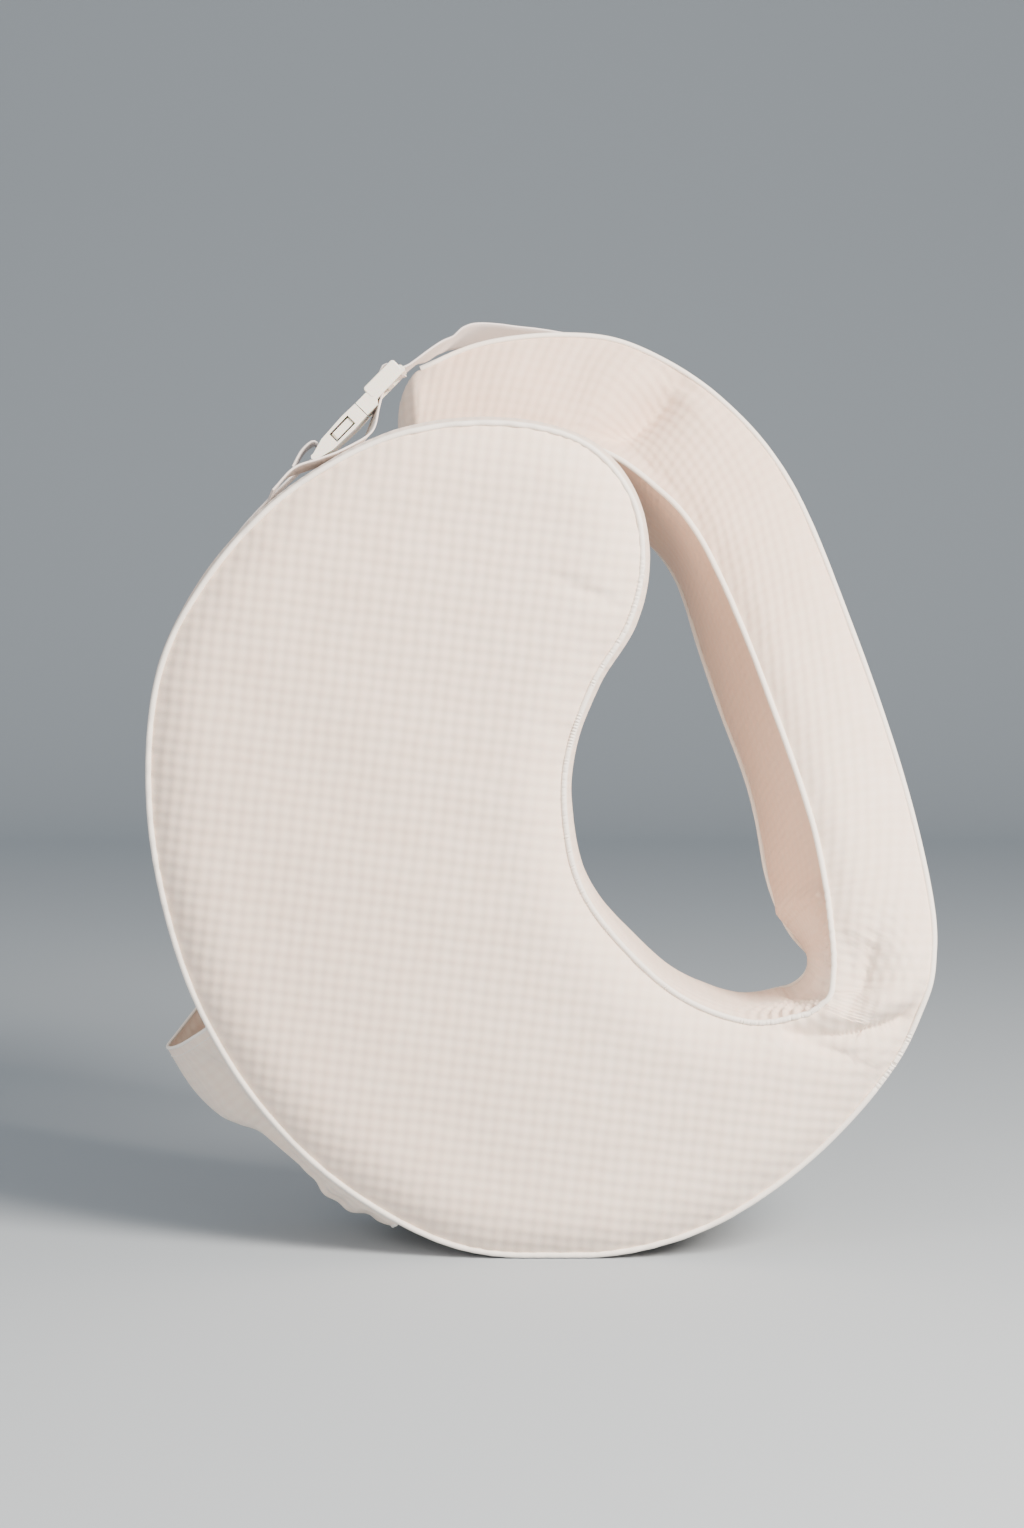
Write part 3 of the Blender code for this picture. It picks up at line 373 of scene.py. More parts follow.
# The cover lies in folds where it is bent or pulled. Each has its panel, a line in the XZ plane,
# a depth (less than 0 for a ridge), a half width, and the height of the lip above it. A panel
# with arm_ before it has the fold past the elbow only.
FOLDS = (
    ("front", ((0.156, 0.1525), (0.168, 0.1500), (0.197, 0.1475), (0.236, 0.155), (0.256, 0.169)),
     0.0085, 0.0055, 0.0050),
    ("front", ((0.160, 0.1480), (0.181, 0.1400), (0.206, 0.1295)), 0.0046, 0.0042, 0.0014),
    ("front", ((0.1980, 0.1600), (0.2065, 0.185), (0.2200, 0.216)), 0.0060, 0.0080, 0.0),
    ("front", ((0.1990, 0.1560), (0.2065, 0.180), (0.2160, 0.208)), 0.0080, 0.0180, 0.0),
    ("front", ((0.0070, 0.4400), (0.030, 0.431), (0.052, 0.4215)), 0.0022, 0.0034, 0.0005),
    ("arm_front", ((0.0380, 0.520), (0.068, 0.548), (0.100, 0.574)), 0.0140, 0.0100, 0.0040),
    ("arm_front", ((0.0360, 0.522), (0.066, 0.548), (0.098, 0.574)), 0.0150, 0.0280, 0.0),
    ("arm_inner", ((0.0740, 0.485), (0.082, 0.450), (0.089, 0.415)), -0.0045, 0.0070, 0.0),
    ("arm_inner", ((0.1590, 0.196), (0.174, 0.224), (0.192, 0.236)), -0.0060, 0.0080, 0.0),
)
ZIPPER_X = sum(corner[0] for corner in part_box("zipper_coil")) / 2
ELBOW_CORNER = np.array((0.1955, -0.1301, 0.1776))     # the inner piping's corner at the elbow
RIPPLE = 0.0068                                        # pitch of the ripples round that corner


def line_distance(p, line):
    """Signed distance from points to a smooth line, and where along it they are, 0 to 1."""
    dense = smooth_curve(line, 12)
    run = unit(np.gradient(dense, axis=0))
    away = p[:, None] - dense[None]
    d = np.linalg.norm(away, axis=2)
    k = d.argmin(axis=1)
    nearest = away[np.arange(len(p)), k]
    left = run[k, 0] * nearest[:, 1] - run[k, 1] * nearest[:, 0]
    return d.min(axis=1) * np.sign(left), k / (len(dense) - 1)


def perlin(points, scale, seed):
    """Smooth noise from -1 to 1 at every point."""
    shift = np.array((seed * 7.31, seed * 3.17, seed * 5.53))
    scaled = points * np.asarray(scale) + shift
    return np.array([noise.noise(p) for p in scaled.tolist()])


def grid_normals(points):
    """Unit normals of a grid of points."""
    down, over = np.gradient(points, axis=0), np.gradient(points, axis=1)
    return unit(np.cross(over, down))


def soften(points, row, reach, rounds, share=1.0):
    """Evens out the rows near one row, so that two panels run into each other."""
    weight = ease(1 - np.abs(np.arange(len(points)) - row) / reach)[:, None, None] * 0.5
    weight = (weight * share)[1:-1]
    for _ in range(rounds):
        points[1:-1] += (points[:-2] + points[2:] - 2 * points[1:-1]) * weight
    return points


def put_in_folds(side, points, away, along, out_sign):
    """Adds the folds, the puckers along the seams and the uneven filling to one panel."""
    shape = points.shape[:-1]
    normal = (grid_normals(points) * out_sign).reshape(-1, 3)
    p, away, along = points.reshape(-1, 3), away.reshape(-1), along.reshape(-1)
    on_arm = along > PAST_ELBOW - 0.05
    # Uneven filling: broad and small humps that fade towards the seams.
    lift = perlin(p, 16, 1) * 0.0010 + perlin(p, 42, 2) * 0.00035
    lift *= ease(away / 0.020)
    # Puckers: about 11 mm apart along a seam, and gone some 30 mm away from it.
    seam_frame = np.stack((along / 0.011, away / 0.030, 0 * along + len(side)), -1)
    lift += perlin(seam_frame, 1.0, 3) * 0.0011 * np.exp(-away / 0.014) * ease(away / 0.003)
    for name, line, depth, width, lip in FOLDS:
        if not name.endswith(side):
            continue
        flat = p[:, (0, 2)]
        close = np.linalg.norm(flat - np.mean(line, axis=0), axis=1) < 0.12
        near = np.flatnonzero(close & (on_arm | (name == side)))
        d, where = line_distance(flat[near], line)
        ends = np.sin(np.pi * np.clip(where, 0.02, 0.98)) ** 0.5
        sharp = np.exp(-np.sqrt((d / width) ** 2 + 0.06) + 0.24)
        ends = ends * ease(away[near] / 0.007)
        lift[near] += ends * (lip * np.exp(-((d - 2.6 * width) / (1.8 * width)) ** 2) - depth * sharp)
    # The back panel is drawn in on both sides of the zipper.
    if side == "back":
        coil = np.abs(p[:, 0] - ZIPPER_X)
        ends = ease((p[:, 2] - 0.160) / 0.02) * ease((0.430 - p[:, 2]) / 0.02)
        lift -= 0.0030 * ease((0.034 - coil) / 0.014) * ends * ~on_arm
    # Ripples run round the tight corner of the elbow.
    d = np.linalg.norm(p - ELBOW_CORNER, axis=1)
    arcs = np.sin(d / RIPPLE * 2 * np.pi) * ease((0.080 - d) / 0.04) * ease((d - 0.010) / 0.008)
    lift += arcs * (0.0016 if side == "inner" else 0.0002) * ease(away / 0.004)
    p = p + normal * lift[:, None]
    p[:, 2] = np.maximum(p[:, 2], 0.0002)
    return p.reshape(shape + (3,))


def grid_mesh(bm, uv_layer, points, pattern, flip, painted_shade_warmth=0.0):
    """Adds a grid of quads, with the pattern coordinates as its UV, and a painted warm shade in places.
    """
    tint = bm.verts.layers.float.get("painted_shade_warmth")
    rows = [[bm.verts.new(p) for p in row] for row in points.tolist()]
    for row, shades in zip(rows, np.broadcast_to(painted_shade_warmth, points.shape[:2]).tolist()):
        for vert, shade in zip(row, shades):
            vert[tint] = shade
    for i in range(len(rows) - 1):
        for j in range(len(rows[0]) - 1):
            loop = ((i, j), (i, j + 1), (i + 1, j + 1), (i + 1, j))
            if flip:
                loop = loop[::-1]
            face = bm.faces.new([rows[a][b] for a, b in loop])
            for corner, (a, b) in zip(face.loops, loop):
                corner[uv_layer].uv = pattern[a, b]


def place_mesh(name, bm, material, sharp=50):
    """Makes the object of a finished mesh, with seams that turn sharply shaded as edges."""
    bmesh.ops.remove_doubles(bm, verts=bm.verts, dist=2e-6)
    bmesh.ops.dissolve_degenerate(bm, edges=bm.edges, dist=1e-7)
    mesh = bpy.data.meshes.new(name)
    bm.to_mesh(mesh)
    bm.free()
    mesh.shade_smooth()
    mesh.set_sharp_from_angle(angle=math.radians(sharp))
    mesh.materials.append(material)
    made = bpy.data.objects.new(name, mesh)
    bpy.context.scene.collection.objects.link(made)
    return made


WAFFLE, WAFFLE_DEEP = 0.0080, 0.0006             # pitch and height of the knit's quilted squares


def waffle_knit():
    """Quilted cotton jacquard: soft raised squares with sunk lines, and a fine knitted surface.
    It is matt with a faint bloom of loose fibre, and painted shade makes it a little darker down in the
    sunk lines. The stitches are drawn about a millimetre apart, coarser than real ones, so that they
    show."""
    made, tree = empty_material("quilted_waffle_knit")
    pattern = add(tree, "ShaderNodeUVMap", uv_map="UVMap").outputs["UV"]
    drift = add(tree, "ShaderNodeTexNoise", {"Vector": pattern, "Scale": 38.0, "Detail": 1.0})
    drawn = add(tree, "ShaderNodeVectorMath", {0: drift.outputs["Color"], 1: (0.003, 0.003, 0.0),
                                               2: pattern}, operation="MULTIPLY_ADD")
    split = add(tree, "ShaderNodeSeparateXYZ", {0: drawn.outputs[0]})
    waves = []
    for axis in ("X", "Y"):
        turns = add(tree, "ShaderNodeMath", {0: split.outputs[axis], 1: 2 * math.pi / WAFFLE},
                    operation="MULTIPLY")
        waves.append(add(tree, "ShaderNodeMath", {0: turns.outputs[0]}, operation="COSINE"))
    squares = add(tree, "ShaderNodeMath", {0: waves[0].outputs[0], 1: waves[1].outputs[0]},
                  operation="ADD")
    soft = add(tree, "ShaderNodeMath", {0: squares.outputs[0], 1: 0.25, 2: 0.5},
               operation="MULTIPLY_ADD")
    uneven = add(tree, "ShaderNodeTexNoise", {"Vector": pattern, "Scale": 55.0, "Detail": 2.0})
    knit_grid = add(tree, "ShaderNodeMapping", {"Vector": pattern, "Scale": (900.0, 1500.0, 1.0)})
    knit = add(tree, "ShaderNodeTexNoise", {"Vector": knit_grid.outputs[0], "Scale": 1.0,
                                            "Detail": 3.0})
    # Painted shade: the knit is a shade darker where the waffle's relief is low, down in the sunk lines.
    tint = add(tree, "ShaderNodeMix", {0: soft.outputs[0], 6: linear("#F3E2D4"),
                                       7: linear("#F7E9DC")}, data_type="RGBA")
    patchy = add(tree, "ShaderNodeMix", {0: uneven.outputs["Fac"], 6: linear("#FFFFFF"),
                                         7: linear("#F8F1EC")}, data_type="RGBA")
    colour = add(tree, "ShaderNodeMix", {0: 1.0, 6: tint.outputs[2], 7: patchy.outputs[2]},
                 data_type="RGBA", blend_type="MULTIPLY")
    # Painted warm shade and bounce light: where the mesh's shade attribute is high, mostly on the arm's
    # shaded parts, the knit turns tan.
    painted_shade_warmth = add(tree, "ShaderNodeAttribute", attribute_name="painted_shade_warmth")
    warm_shade_colour = add(tree, "ShaderNodeMix", {0: painted_shade_warmth.outputs["Fac"], 6: colour.outputs[2],
                                       7: linear("#D3AB90")}, data_type="RGBA")
    relief = add(tree, "ShaderNodeBump", {"Height": soft.outputs[0], "Strength": 1.0,
                                          "Distance": WAFFLE_DEEP})
    stitches = add(tree, "ShaderNodeBump", {"Height": knit.outputs["Fac"], "Strength": 0.5,
                                            "Distance": 0.00025, "Normal": relief.outputs[0]})
    finish_material(tree, add(tree, "ShaderNodeBsdfPrincipled", {
        "Base Color": warm_shade_colour.outputs[2], "Roughness": 0.88, "Sheen Weight": 0.25,
        "Sheen Roughness": 0.5, "Subsurface Weight": 0.06, "Subsurface Scale": 0.004,
        "Normal": stitches.outputs[0]}))
    return made


def painted_shade_share(side, points):
    """How much painted warm shade and bounce light each point gets: most inside the arm's loop, where
    the cover lies in shade.
    """
    x, z = points[..., 0], points[..., 2]
    on_arm = ease((np.arange(len(points)) - RUNGS - 4) / 40)[:, None]
    if side == "inner":
        return on_arm * (0.38 + 0.30 * ease((z - 0.205) / 0.03)) + 0.06
    if side == "front":
        return on_arm * 0.34 * ease((z - 0.28) / 0.25) + (1 - on_arm) * 0.15 * ease((0.12 - x) / 0.3)
    return 0.05 + 0 * x


PANELS = ("front", "back", "outer", "inner")
OUTWARD = {"front": (0, -1, 0), "back": (0, 1, 0), "outer": (-1, 0, 0), "inner": (1, 0, 0)}
# Rows of the crescent from 0 at the tip to 1 at the elbow, and of the arm from 0 to 1 at its end.
# They lie closer together near the elbow, where the cover folds.
taus = np.interp(np.linspace(0, 1, RUNGS + 1), (0, 0.85, 1), (0, 0.94, 1))
ts = np.interp(np.linspace(0, 1, 260), (0, 0.25, 1), (0, 0.11, 1))
rows = {}
for side in PANELS:
    points, pattern, away, along = (np.concatenate(pair) for pair in zip(
        crescent_panel(side, taus), arm_panel(side, ts)))
    deep = ease((points[..., 1:2] + HALF_DEPTH) / (2 * HALF_DEPTH))
    points = soften(points, RUNGS + 26, 70, 500, deep)
    points = soften(points, RUNGS, 24, 60) + STAND
    middle_normal = grid_normals(points)[RUNGS // 2, points.shape[1] // 2]
    sign = 1 if float(np.dot(middle_normal, OUTWARD[side])) > 0 else -1
    points = put_in_folds(side, points, away, along, sign)
    # Each panel keeps its rows, pattern, facing and painted warm shade.
    rows[side] = (points, pattern, sign, painted_shade_share(side, points))
CUT = int(np.searchsorted(taus, 0.955))          # the crescent's cover ends here, short of the elbow

crescent_bm, arm_bm = bmesh.new(), bmesh.new()
for bm, first, last in ((crescent_bm, 0, CUT + 1), (arm_bm, CUT, None)):
    layer = bm.loops.layers.uv.new("UVMap")
    bm.verts.layers.float.new("painted_shade_warmth")
    for side in PANELS:
        points, pattern, sign, painted_shade = rows[side]
        grid_mesh(bm, layer, points[first:last], pattern[first:last], sign > 0, painted_shade[first:last])


def arm_end_panel(bm):
    """The end panel fills the last section of the arm and bulges a little past it."""
    edges = {side: rows[side][0][-1] for side in PANELS}
    v = ACROSS_BAND[:, None, None]
    top, bottom = edges["outer"][:, None], edges["inner"][:, None]
    u = ACROSS_FACE[None, :, None]
    front, back = edges["front"][None], edges["back"][None]
    flat = (top * (1 - u) + bottom * u + front * (1 - v) + back * v
            - (top[0] * (1 - u) + bottom[0] * u) * (1 - v) - (top[-1] * (1 - u) + bottom[-1] * u) * v)
    span = np.linalg.norm(bottom[0] - top[0])
    away = np.minimum(np.minimum(u, 1 - u) * span, np.minimum(v, 1 - v) * ARM_DEPTH)[..., 0]
    out = unit(arm_outer.direction(np.array(1.0)) + arm_inner.direction(np.array(1.0)))
    points = flat + out * crown(away, END_CROWN, span / 2)[..., None]
    pattern = np.stack((v[..., 0] * ARM_DEPTH + 0 * u[..., 0], u[..., 0] * span + 0 * v[..., 0]), -1)
    normal = grid_normals(points)[len(points) // 2, points.shape[1] // 2]
    # The end panel gets a little painted warm shade all over.
    grid_mesh(bm, bm.loops.layers.uv["UVMap"], points, pattern, float(normal @ out) > 0, 0.2)


arm_end_panel(arm_bm)
cover_knit = waffle_knit()
crescent_cover = place_mesh("crescent_cover", crescent_bm, cover_knit)
arm_cover = place_mesh("arm_cover", arm_bm, cover_knit)
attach(crescent_cover, "cushion")
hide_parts("cover_front", "cover_back", "cover_band_outer", "cover_band_inner",
            "insert_case_front", "insert_case_back", "insert_filling")
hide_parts("arm_cover_front", "arm_cover_back", "arm_band_outer", "arm_band_inner",
            "arm_band_end", "arm_case_front", "arm_case_back", "arm_filling")
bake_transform(arm_cover)


# ---- Piping ----
# A cotton-covered cord sewn into the seams between the faces and the side bands, front and back,
# all along the crescent and the arm. It stands a little proud of the cover.
PIPING = 0.0019                                  # radius
SEAM_PROUD = 0.0007                              # how far its middle stands out from the seam


def frames(path):
    """Directions along a path, and two across it that turn as little as they can."""
    path = np.asarray(path, float)
    along = unit(np.gradient(path, axis=0))
    side = np.zeros_like(along)
    first = np.cross(along[0], (0.0, 0.0, 1.0))
    side[0] = unit(first if np.linalg.norm(first) > 0.2 else np.cross(along[0], (1.0, 0.0, 0.0)))
    for i in range(1, len(path)):
        side[i] = unit(side[i - 1] - along[i] * (side[i - 1] @ along[i]))
    return along, side, np.cross(along, side)


def loft(bm, rings, length, girth):
    """Skins rings of points as a closed tube; UV is the length along it and the way round it."""
    layer = bm.loops.layers.uv.verify()
    rings = [[bm.verts.new(p) for p in ring] for ring in rings]
    count = len(rings[0])
    for i in range(len(rings) - 1):
        for j in range(count):
            k = (j + 1) % count
            face = bm.faces.new((rings[i][j], rings[i][k], rings[i + 1][k], rings[i + 1][j]))
            for corner, (a, b) in zip(face.loops, ((i, j), (i, j + 1), (i + 1, j + 1), (i + 1, j))):
                corner[layer].uv = (length[a], girth[b])
    bm.faces.new(rings[0][::-1])
    bm.faces.new(rings[-1])
    bmesh.ops.recalc_face_normals(bm, faces=bm.faces)


def cord_mesh(bm, path, radius, sides=10):
    """A round cord along a path, with closed ends."""
    path = np.asarray(path, float)
    _, side, over = frames(path)
    turns = np.linspace(0, 2 * math.pi, sides + 1)
    rings = [[p + (s * math.cos(a) + o * math.sin(a)) * radius for a in turns[:-1]]
             for p, s, o in zip(path, side, over)]
    loft(bm, rings, run_length(path), turns * radius)


def bias_cotton():
    """Plain cotton strip cut on the bias round a cord: matt, and whiter than the knit. Its threads
    are drawn near a millimetre apart, coarser than real ones, so that they show."""
    made, tree = empty_material("bias_cut_cotton")
    pattern = add(tree, "ShaderNodeUVMap", uv_map="UVMap").outputs["UV"]
    lean = add(tree, "ShaderNodeMapping", {"Vector": pattern, "Rotation": (0, 0, math.radians(45)),
                                           "Scale": (1100.0, 1100.0, 1.0)})
    threads = add(tree, "ShaderNodeTexChecker", {"Vector": lean.outputs[0], "Scale": 1.0})
    fuzz = add(tree, "ShaderNodeTexNoise", {"Vector": pattern, "Scale": 260.0, "Detail": 3.0})
    tint = add(tree, "ShaderNodeMix", {0: fuzz.outputs["Fac"], 6: linear("#EFE8DF"),
                                       7: linear("#F6F1EA")}, data_type="RGBA")
    relief = add(tree, "ShaderNodeBump", {"Height": threads.outputs["Fac"], "Strength": 0.35,
                                          "Distance": 0.0002})
    soft = add(tree, "ShaderNodeBump", {"Height": fuzz.outputs["Fac"], "Strength": 0.4,
                                        "Distance": 0.0003, "Normal": relief.outputs[0]})
    finish_material(tree, add(tree, "ShaderNodeBsdfPrincipled", {
        "Base Color": tint.outputs[2], "Roughness": 0.8, "Sheen Weight": 0.2,
        "Normal": soft.outputs[0]}))
    return made


def seam_path(face, band, face_column, band_column):
    """The seam between a face panel and a band panel, all along their rows."""
    f, b = rows[face][0], rows[band][0]
    f_in = 1 if face_column == 0 else -2
    b_in = 1 if band_column == 0 else -2
    inward = unit(unit(f[:, f_in] - f[:, face_column]) + unit(b[:, b_in] - b[:, band_column]))
    path = f[:, face_column] - inward * SEAM_PROUD
    path[:, 2] = np.maximum(path[:, 2], PIPING + FLOOR_DROP)
    return path


piping_cotton = bias_cotton()
for side, column, name in (("front", 0, "front"), ("back", -1, "back")):
    outer = seam_path(side, "outer", 0, column)
    inner = seam_path(side, "inner", -1, column)
    crescent_bm, arm_bm = bmesh.new(), bmesh.new()
    cord_mesh(crescent_bm, np.concatenate((outer[CUT::-1], inner[2:CUT + 1])), PIPING)
    cord_mesh(arm_bm, outer[CUT:-1], PIPING)
    cord_mesh(arm_bm, inner[CUT:-1], PIPING)
    piece = place_mesh("piping_cord_" + name, crescent_bm, piping_cotton)
    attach(piece, "cushion")
    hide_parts("piping_" + name)
    piece = place_mesh("arm_piping_cord_" + name, arm_bm, piping_cotton)
    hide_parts("arm_piping_" + name)
    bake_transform(piece)


# ---- Side pocket ----
# A gathered pocket of the same knit on the lower left of the side band. Its mouth stands open and
# is bound with cotton, its sides are sewn down, and an elastic draws up its lower hem.
STITCH, THREAD = 0.0032, 0.00032                 # a stitch's length and the thread's radius


def stitch_row(bm, path):
    """A row of lockstitches along a path, each a short length of thread."""
    row = Line(path, 2)
    count = int(row.length / STITCH)
    for i in range(count):
        ends = row.point(np.array(((i + 0.14) / count, (i + 0.5) / count, (i + 0.86) / count)))
        cord_mesh(bm, ends, THREAD, 5)


def textured(name, kind, texture, colours, shader, relief=None, **settings):
    """A material whose two near colours, and its relief, follow one fine texture on the object."""
    made, tree = empty_material(name)
    place = add(tree, "ShaderNodeTexCoord").outputs["Object"]
    grain = add(tree, kind, {"Vector": place, **texture}, **settings)
    tint = add(tree, "ShaderNodeMix", {0: grain.outputs["Fac"], 6: linear(colours[0]),
                                       7: linear(colours[1])}, data_type="RGBA")
    sockets = {"Base Color": tint.outputs[2], **shader}
    if relief:
        bump = add(tree, "ShaderNodeBump", {"Height": grain.outputs["Fac"], "Strength": relief[0],
                                            "Distance": relief[1]})
        sockets["Normal"] = bump.outputs[0]
    finish_material(tree, add(tree, "ShaderNodeBsdfPrincipled", sockets))
    return made


# Spun polyester thread: matt with a faint twist, a shade lighter than the knit.
thread = textured("spun_polyester_thread", "ShaderNodeTexNoise", {"Scale": 900.0, "Detail": 2.0},
                  ("#EDE4DA", "#FBF8F4"), {"Roughness": 0.65, "Sheen Weight": 0.15})
POCKET_MOUTH, POCKET_HEM = 0.3595, 0.2475        # shares of the seam line
POCKET_HALF = 0.0635                             # half its width on the side band
POCKET_CLOTH = 0.0014                            # thickness
CLOTH_DOWN, CLOTH_HALF = 0.181, 0.082            # its cloth from mouth to hem, and half across
# How far the pocket stands out from the side band, from its mouth (0) to its hem (1).
POCKET_REACH = smooth_curve((
    (0.0, 0.0350), (0.17, 0.0325), (0.30, 0.0275), (0.37, 0.0200), (0.43, 0.0120), (0.51, 0.0080),
    (0.60, 0.0042), (0.66, 0.0036), (0.74, 0.0070), (0.80, 0.0085), (0.86, 0.0068), (0.91, 0.0036),
    (0.95, 0.0024), (1.0, 0.0020)), 12)


def pocket_surface(x, v):
    """Points of the pocket: x runs from its mouth to its hem and v from its front to its back."""
    x, v = np.broadcast_arrays(np.asarray(x, float), np.asarray(v, float))
    share = POCKET_MOUTH + (POCKET_HEM - POCKET_MOUTH) * x
    fold = 1.25 + 0.9 * ease((x - 0.2) / 0.4)
    arch = np.clip(1.02 - (np.abs(v) ** 2 + 0.01) ** (fold / 2), 0, 1)
    reach = np.interp(x, POCKET_REACH[:, 0], POCKET_REACH[:, 1])
    gather = ease((x - 0.30) / 0.4)
    folds = np.sin(v * 13.0 + x * 2.0) * 0.0022 + np.sin(v * 29.0 - x * 6.0 + 1.0) * 0.0012
    slack = np.sin(v * 5.0 + x * 8.0 + 0.6) * 0.0020 * np.sin(np.pi * np.clip(x * 1.6, 0, 1))
    tuck = -0.0100 * np.exp(-((v + 0.72) / 0.16) ** 2) * ease(x * 6) * ease((0.62 - x) / 0.2)
    frill = np.sin(x * 62.0 + v * 2.0) * 0.0011 * ease((x - 0.6) / 0.15) * ease((1.02 - x) / 0.06)
    edge = ease((1 - np.abs(v)) / 0.25)
    lift = 0.0012 + (reach * arch + folds * gather + slack + tuck + frill
                     + 0.0010 * gather) * edge
    slope = (0.006 * v - 0.006 - 0.010 * (1 - v * v)) * ease(1 - x * 1.6)
    return side_band(share + slope / seam.length, POCKET_HALF * v, np.maximum(lift, 0.0012)) + STAND


across = np.sin(np.linspace(-math.pi / 2, math.pi / 2, 97))
down = np.linspace(0, 1, 111)
pocket_points = pocket_surface(down[:, None], across[None])
bm = bmesh.new()
layer = bm.loops.layers.uv.new("UVMap")
bm.verts.layers.float.new("painted_shade_warmth")
pattern = np.stack(np.broadcast_arrays(down[:, None] * CLOTH_DOWN, across[None] * CLOTH_HALF), -1)
grid_mesh(bm, layer, pocket_points, pattern, True)
pocket = place_mesh("pocket_panel_cloth", bm, cover_knit)
thick = pocket.modifiers.new("cloth_thickness", "SOLIDIFY")
thick.thickness = POCKET_CLOTH
thick.offset = 0.0
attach(pocket, "cushion")
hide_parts("pocket_panel")
bm = bmesh.new()
cord_mesh(bm, pocket_points[0][1:-1], 0.0012)
binding = place_mesh("pocket_mouth_binding", bm, piping_cotton)
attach(binding, "cushion")
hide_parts("pocket_binding")
bm = bmesh.new()
hem_stitch = pocket_surface(0.030, np.linspace(-0.97, 0.97, 60))
stitch_row(bm, hem_stitch + unit(hem_stitch - STAND - (0.0, 0.0, 0.25)) * 0.0008)
stitches = place_mesh("pocket_mouth_stitches", bm, thread)
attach(stitches, "cushion")
bm = bmesh.new()
cord_mesh(bm, pocket_surface(0.995, np.linspace(-0.93, 0.93, 90)), 0.0013)
hem = place_mesh("pocket_hem_cord", bm, piping_cotton)
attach(hem, "cushion")
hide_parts("pocket_hem_elastic")


# ---- Webbing straps ----
# Flat woven polypropylene tape, 30 mm wide. The short strap is sewn to the crescent's side band
# and round the socket's bar; the long one runs from the arm through the plug's ladder to a tail.
WEBBING, TAPE = 0.030, 0.0014                    # width and thickness
GAP = 0.0008                                     # between the webbing and what it lies on
PIVOT_OUT = 0.0020                               # the elbow's axis outside the side band
SOCKET_SHARE, SOCKET_OUT = 0.609, 0.034          # the socket's mouth along the seam and off it
# The buckle lies across the line from the elbow's axis to its mouth, so it parts as the arm swings.
PIVOT = elbow_outer + seam_normal(np.array(0.0)) * (BAND_CROWN + PIVOT_OUT)
MOUTH = seam.point(np.array(SOCKET_SHARE)) + seam_normal(np.array(SOCKET_SHARE)) * SOCKET_OUT
BUCKLE_AXIS = unit(np.array((MOUTH[1] - PIVOT[1], 0.0, PIVOT[0] - MOUTH[0])))
BUCKLE_UP = np.cross(BUCKLE_AXIS, (0.0, 1.0, 0.0))
SOCKET_REAR, BUCKLE_DEPTH = -0.046, 0.040
SOCKET_BAR = SOCKET_REAR + 0.0021                # middle of the bar that holds the short strap
BAR_CLEAR = 0.0024 + TAPE / 2 + 0.0013           # from there to the middle of the tape round it
LADDER_BAR = 0.0251                              # middle bar of the plug's ladder


def in_buckle(along, wide, high):
    """Place in the buckle: along from the socket's mouth to the arm, wide along +Y."""
    return (np.array((MOUTH[0], BUCKLE_DEPTH, MOUTH[1])) + BUCKLE_AXIS * along
            + np.array((0.0, wide, 0.0)) + BUCKLE_UP * high)


def arm_band_top(t, lift, u=0.5):
    """Point over the arm's outer side band; u is 1 at the front seam."""
    outer, _, cross_way, into = arm_section(np.array([t]))
    away = ARM_DEPTH * min(u, 1 - u)
    p = outer[0] + into[0] * ARM_DEPTH * (1 - u) - cross_way[0] * (crown(away, ARM_CROWN) + lift)
    return p


def tape_mesh(bm, path, width, thickness, start_wide=(0.0, 1.0, 0.0), wide=(0.0, 1.0, 0.0),
              roll=0.0):
    """Flat tape with rounded edges along a path. Its width turns from one direction to the other,
    and roll twists it by an angle on the way."""
    along = unit(np.gradient(path, axis=0))
    turn = ease(np.linspace(0, 1, len(path)) * 5 - 0.6)[:, None]
    wide = np.array(start_wide) * (1 - turn) + np.array(wide) * turn
    wide = unit(wide - along * np.sum(wide * along, axis=1, keepdims=True))
    for _ in range(500):
        wide[1:-1] += (wide[:-2] + wide[2:] - 2 * wide[1:-1]) * 0.45
    wide = unit(wide - along * np.sum(wide * along, axis=1, keepdims=True))
    thick = np.cross(along, wide)
    share = np.linspace(0, 1, len(path))[:, None]
    angle = roll * ease(share / 0.18) * ease((0.52 - share) / 0.22)
    wide, thick = (wide * np.cos(angle) + thick * np.sin(angle),
                   thick * np.cos(angle) - wide * np.sin(angle))
    h, t = width / 2, thickness / 2
    across = np.linspace(-h + t, h - t, 9)
    loop = [(a, t) for a in across] + [(h - 0.3 * t, 0.6 * t), (h, 0.0), (h - 0.3 * t, -0.6 * t)]
    loop += [(a, -t) for a in across[::-1]]
    loop += [(-h + 0.3 * t, -0.6 * t), (-h, 0.0), (-h + 0.3 * t, 0.6 * t)]
    rings = [[p + w * a + k * b for a, b in loop] for p, w, k in zip(path, wide, thick)]
    loft(bm, rings, run_length(path), [a for a, _ in loop + loop[:1]])


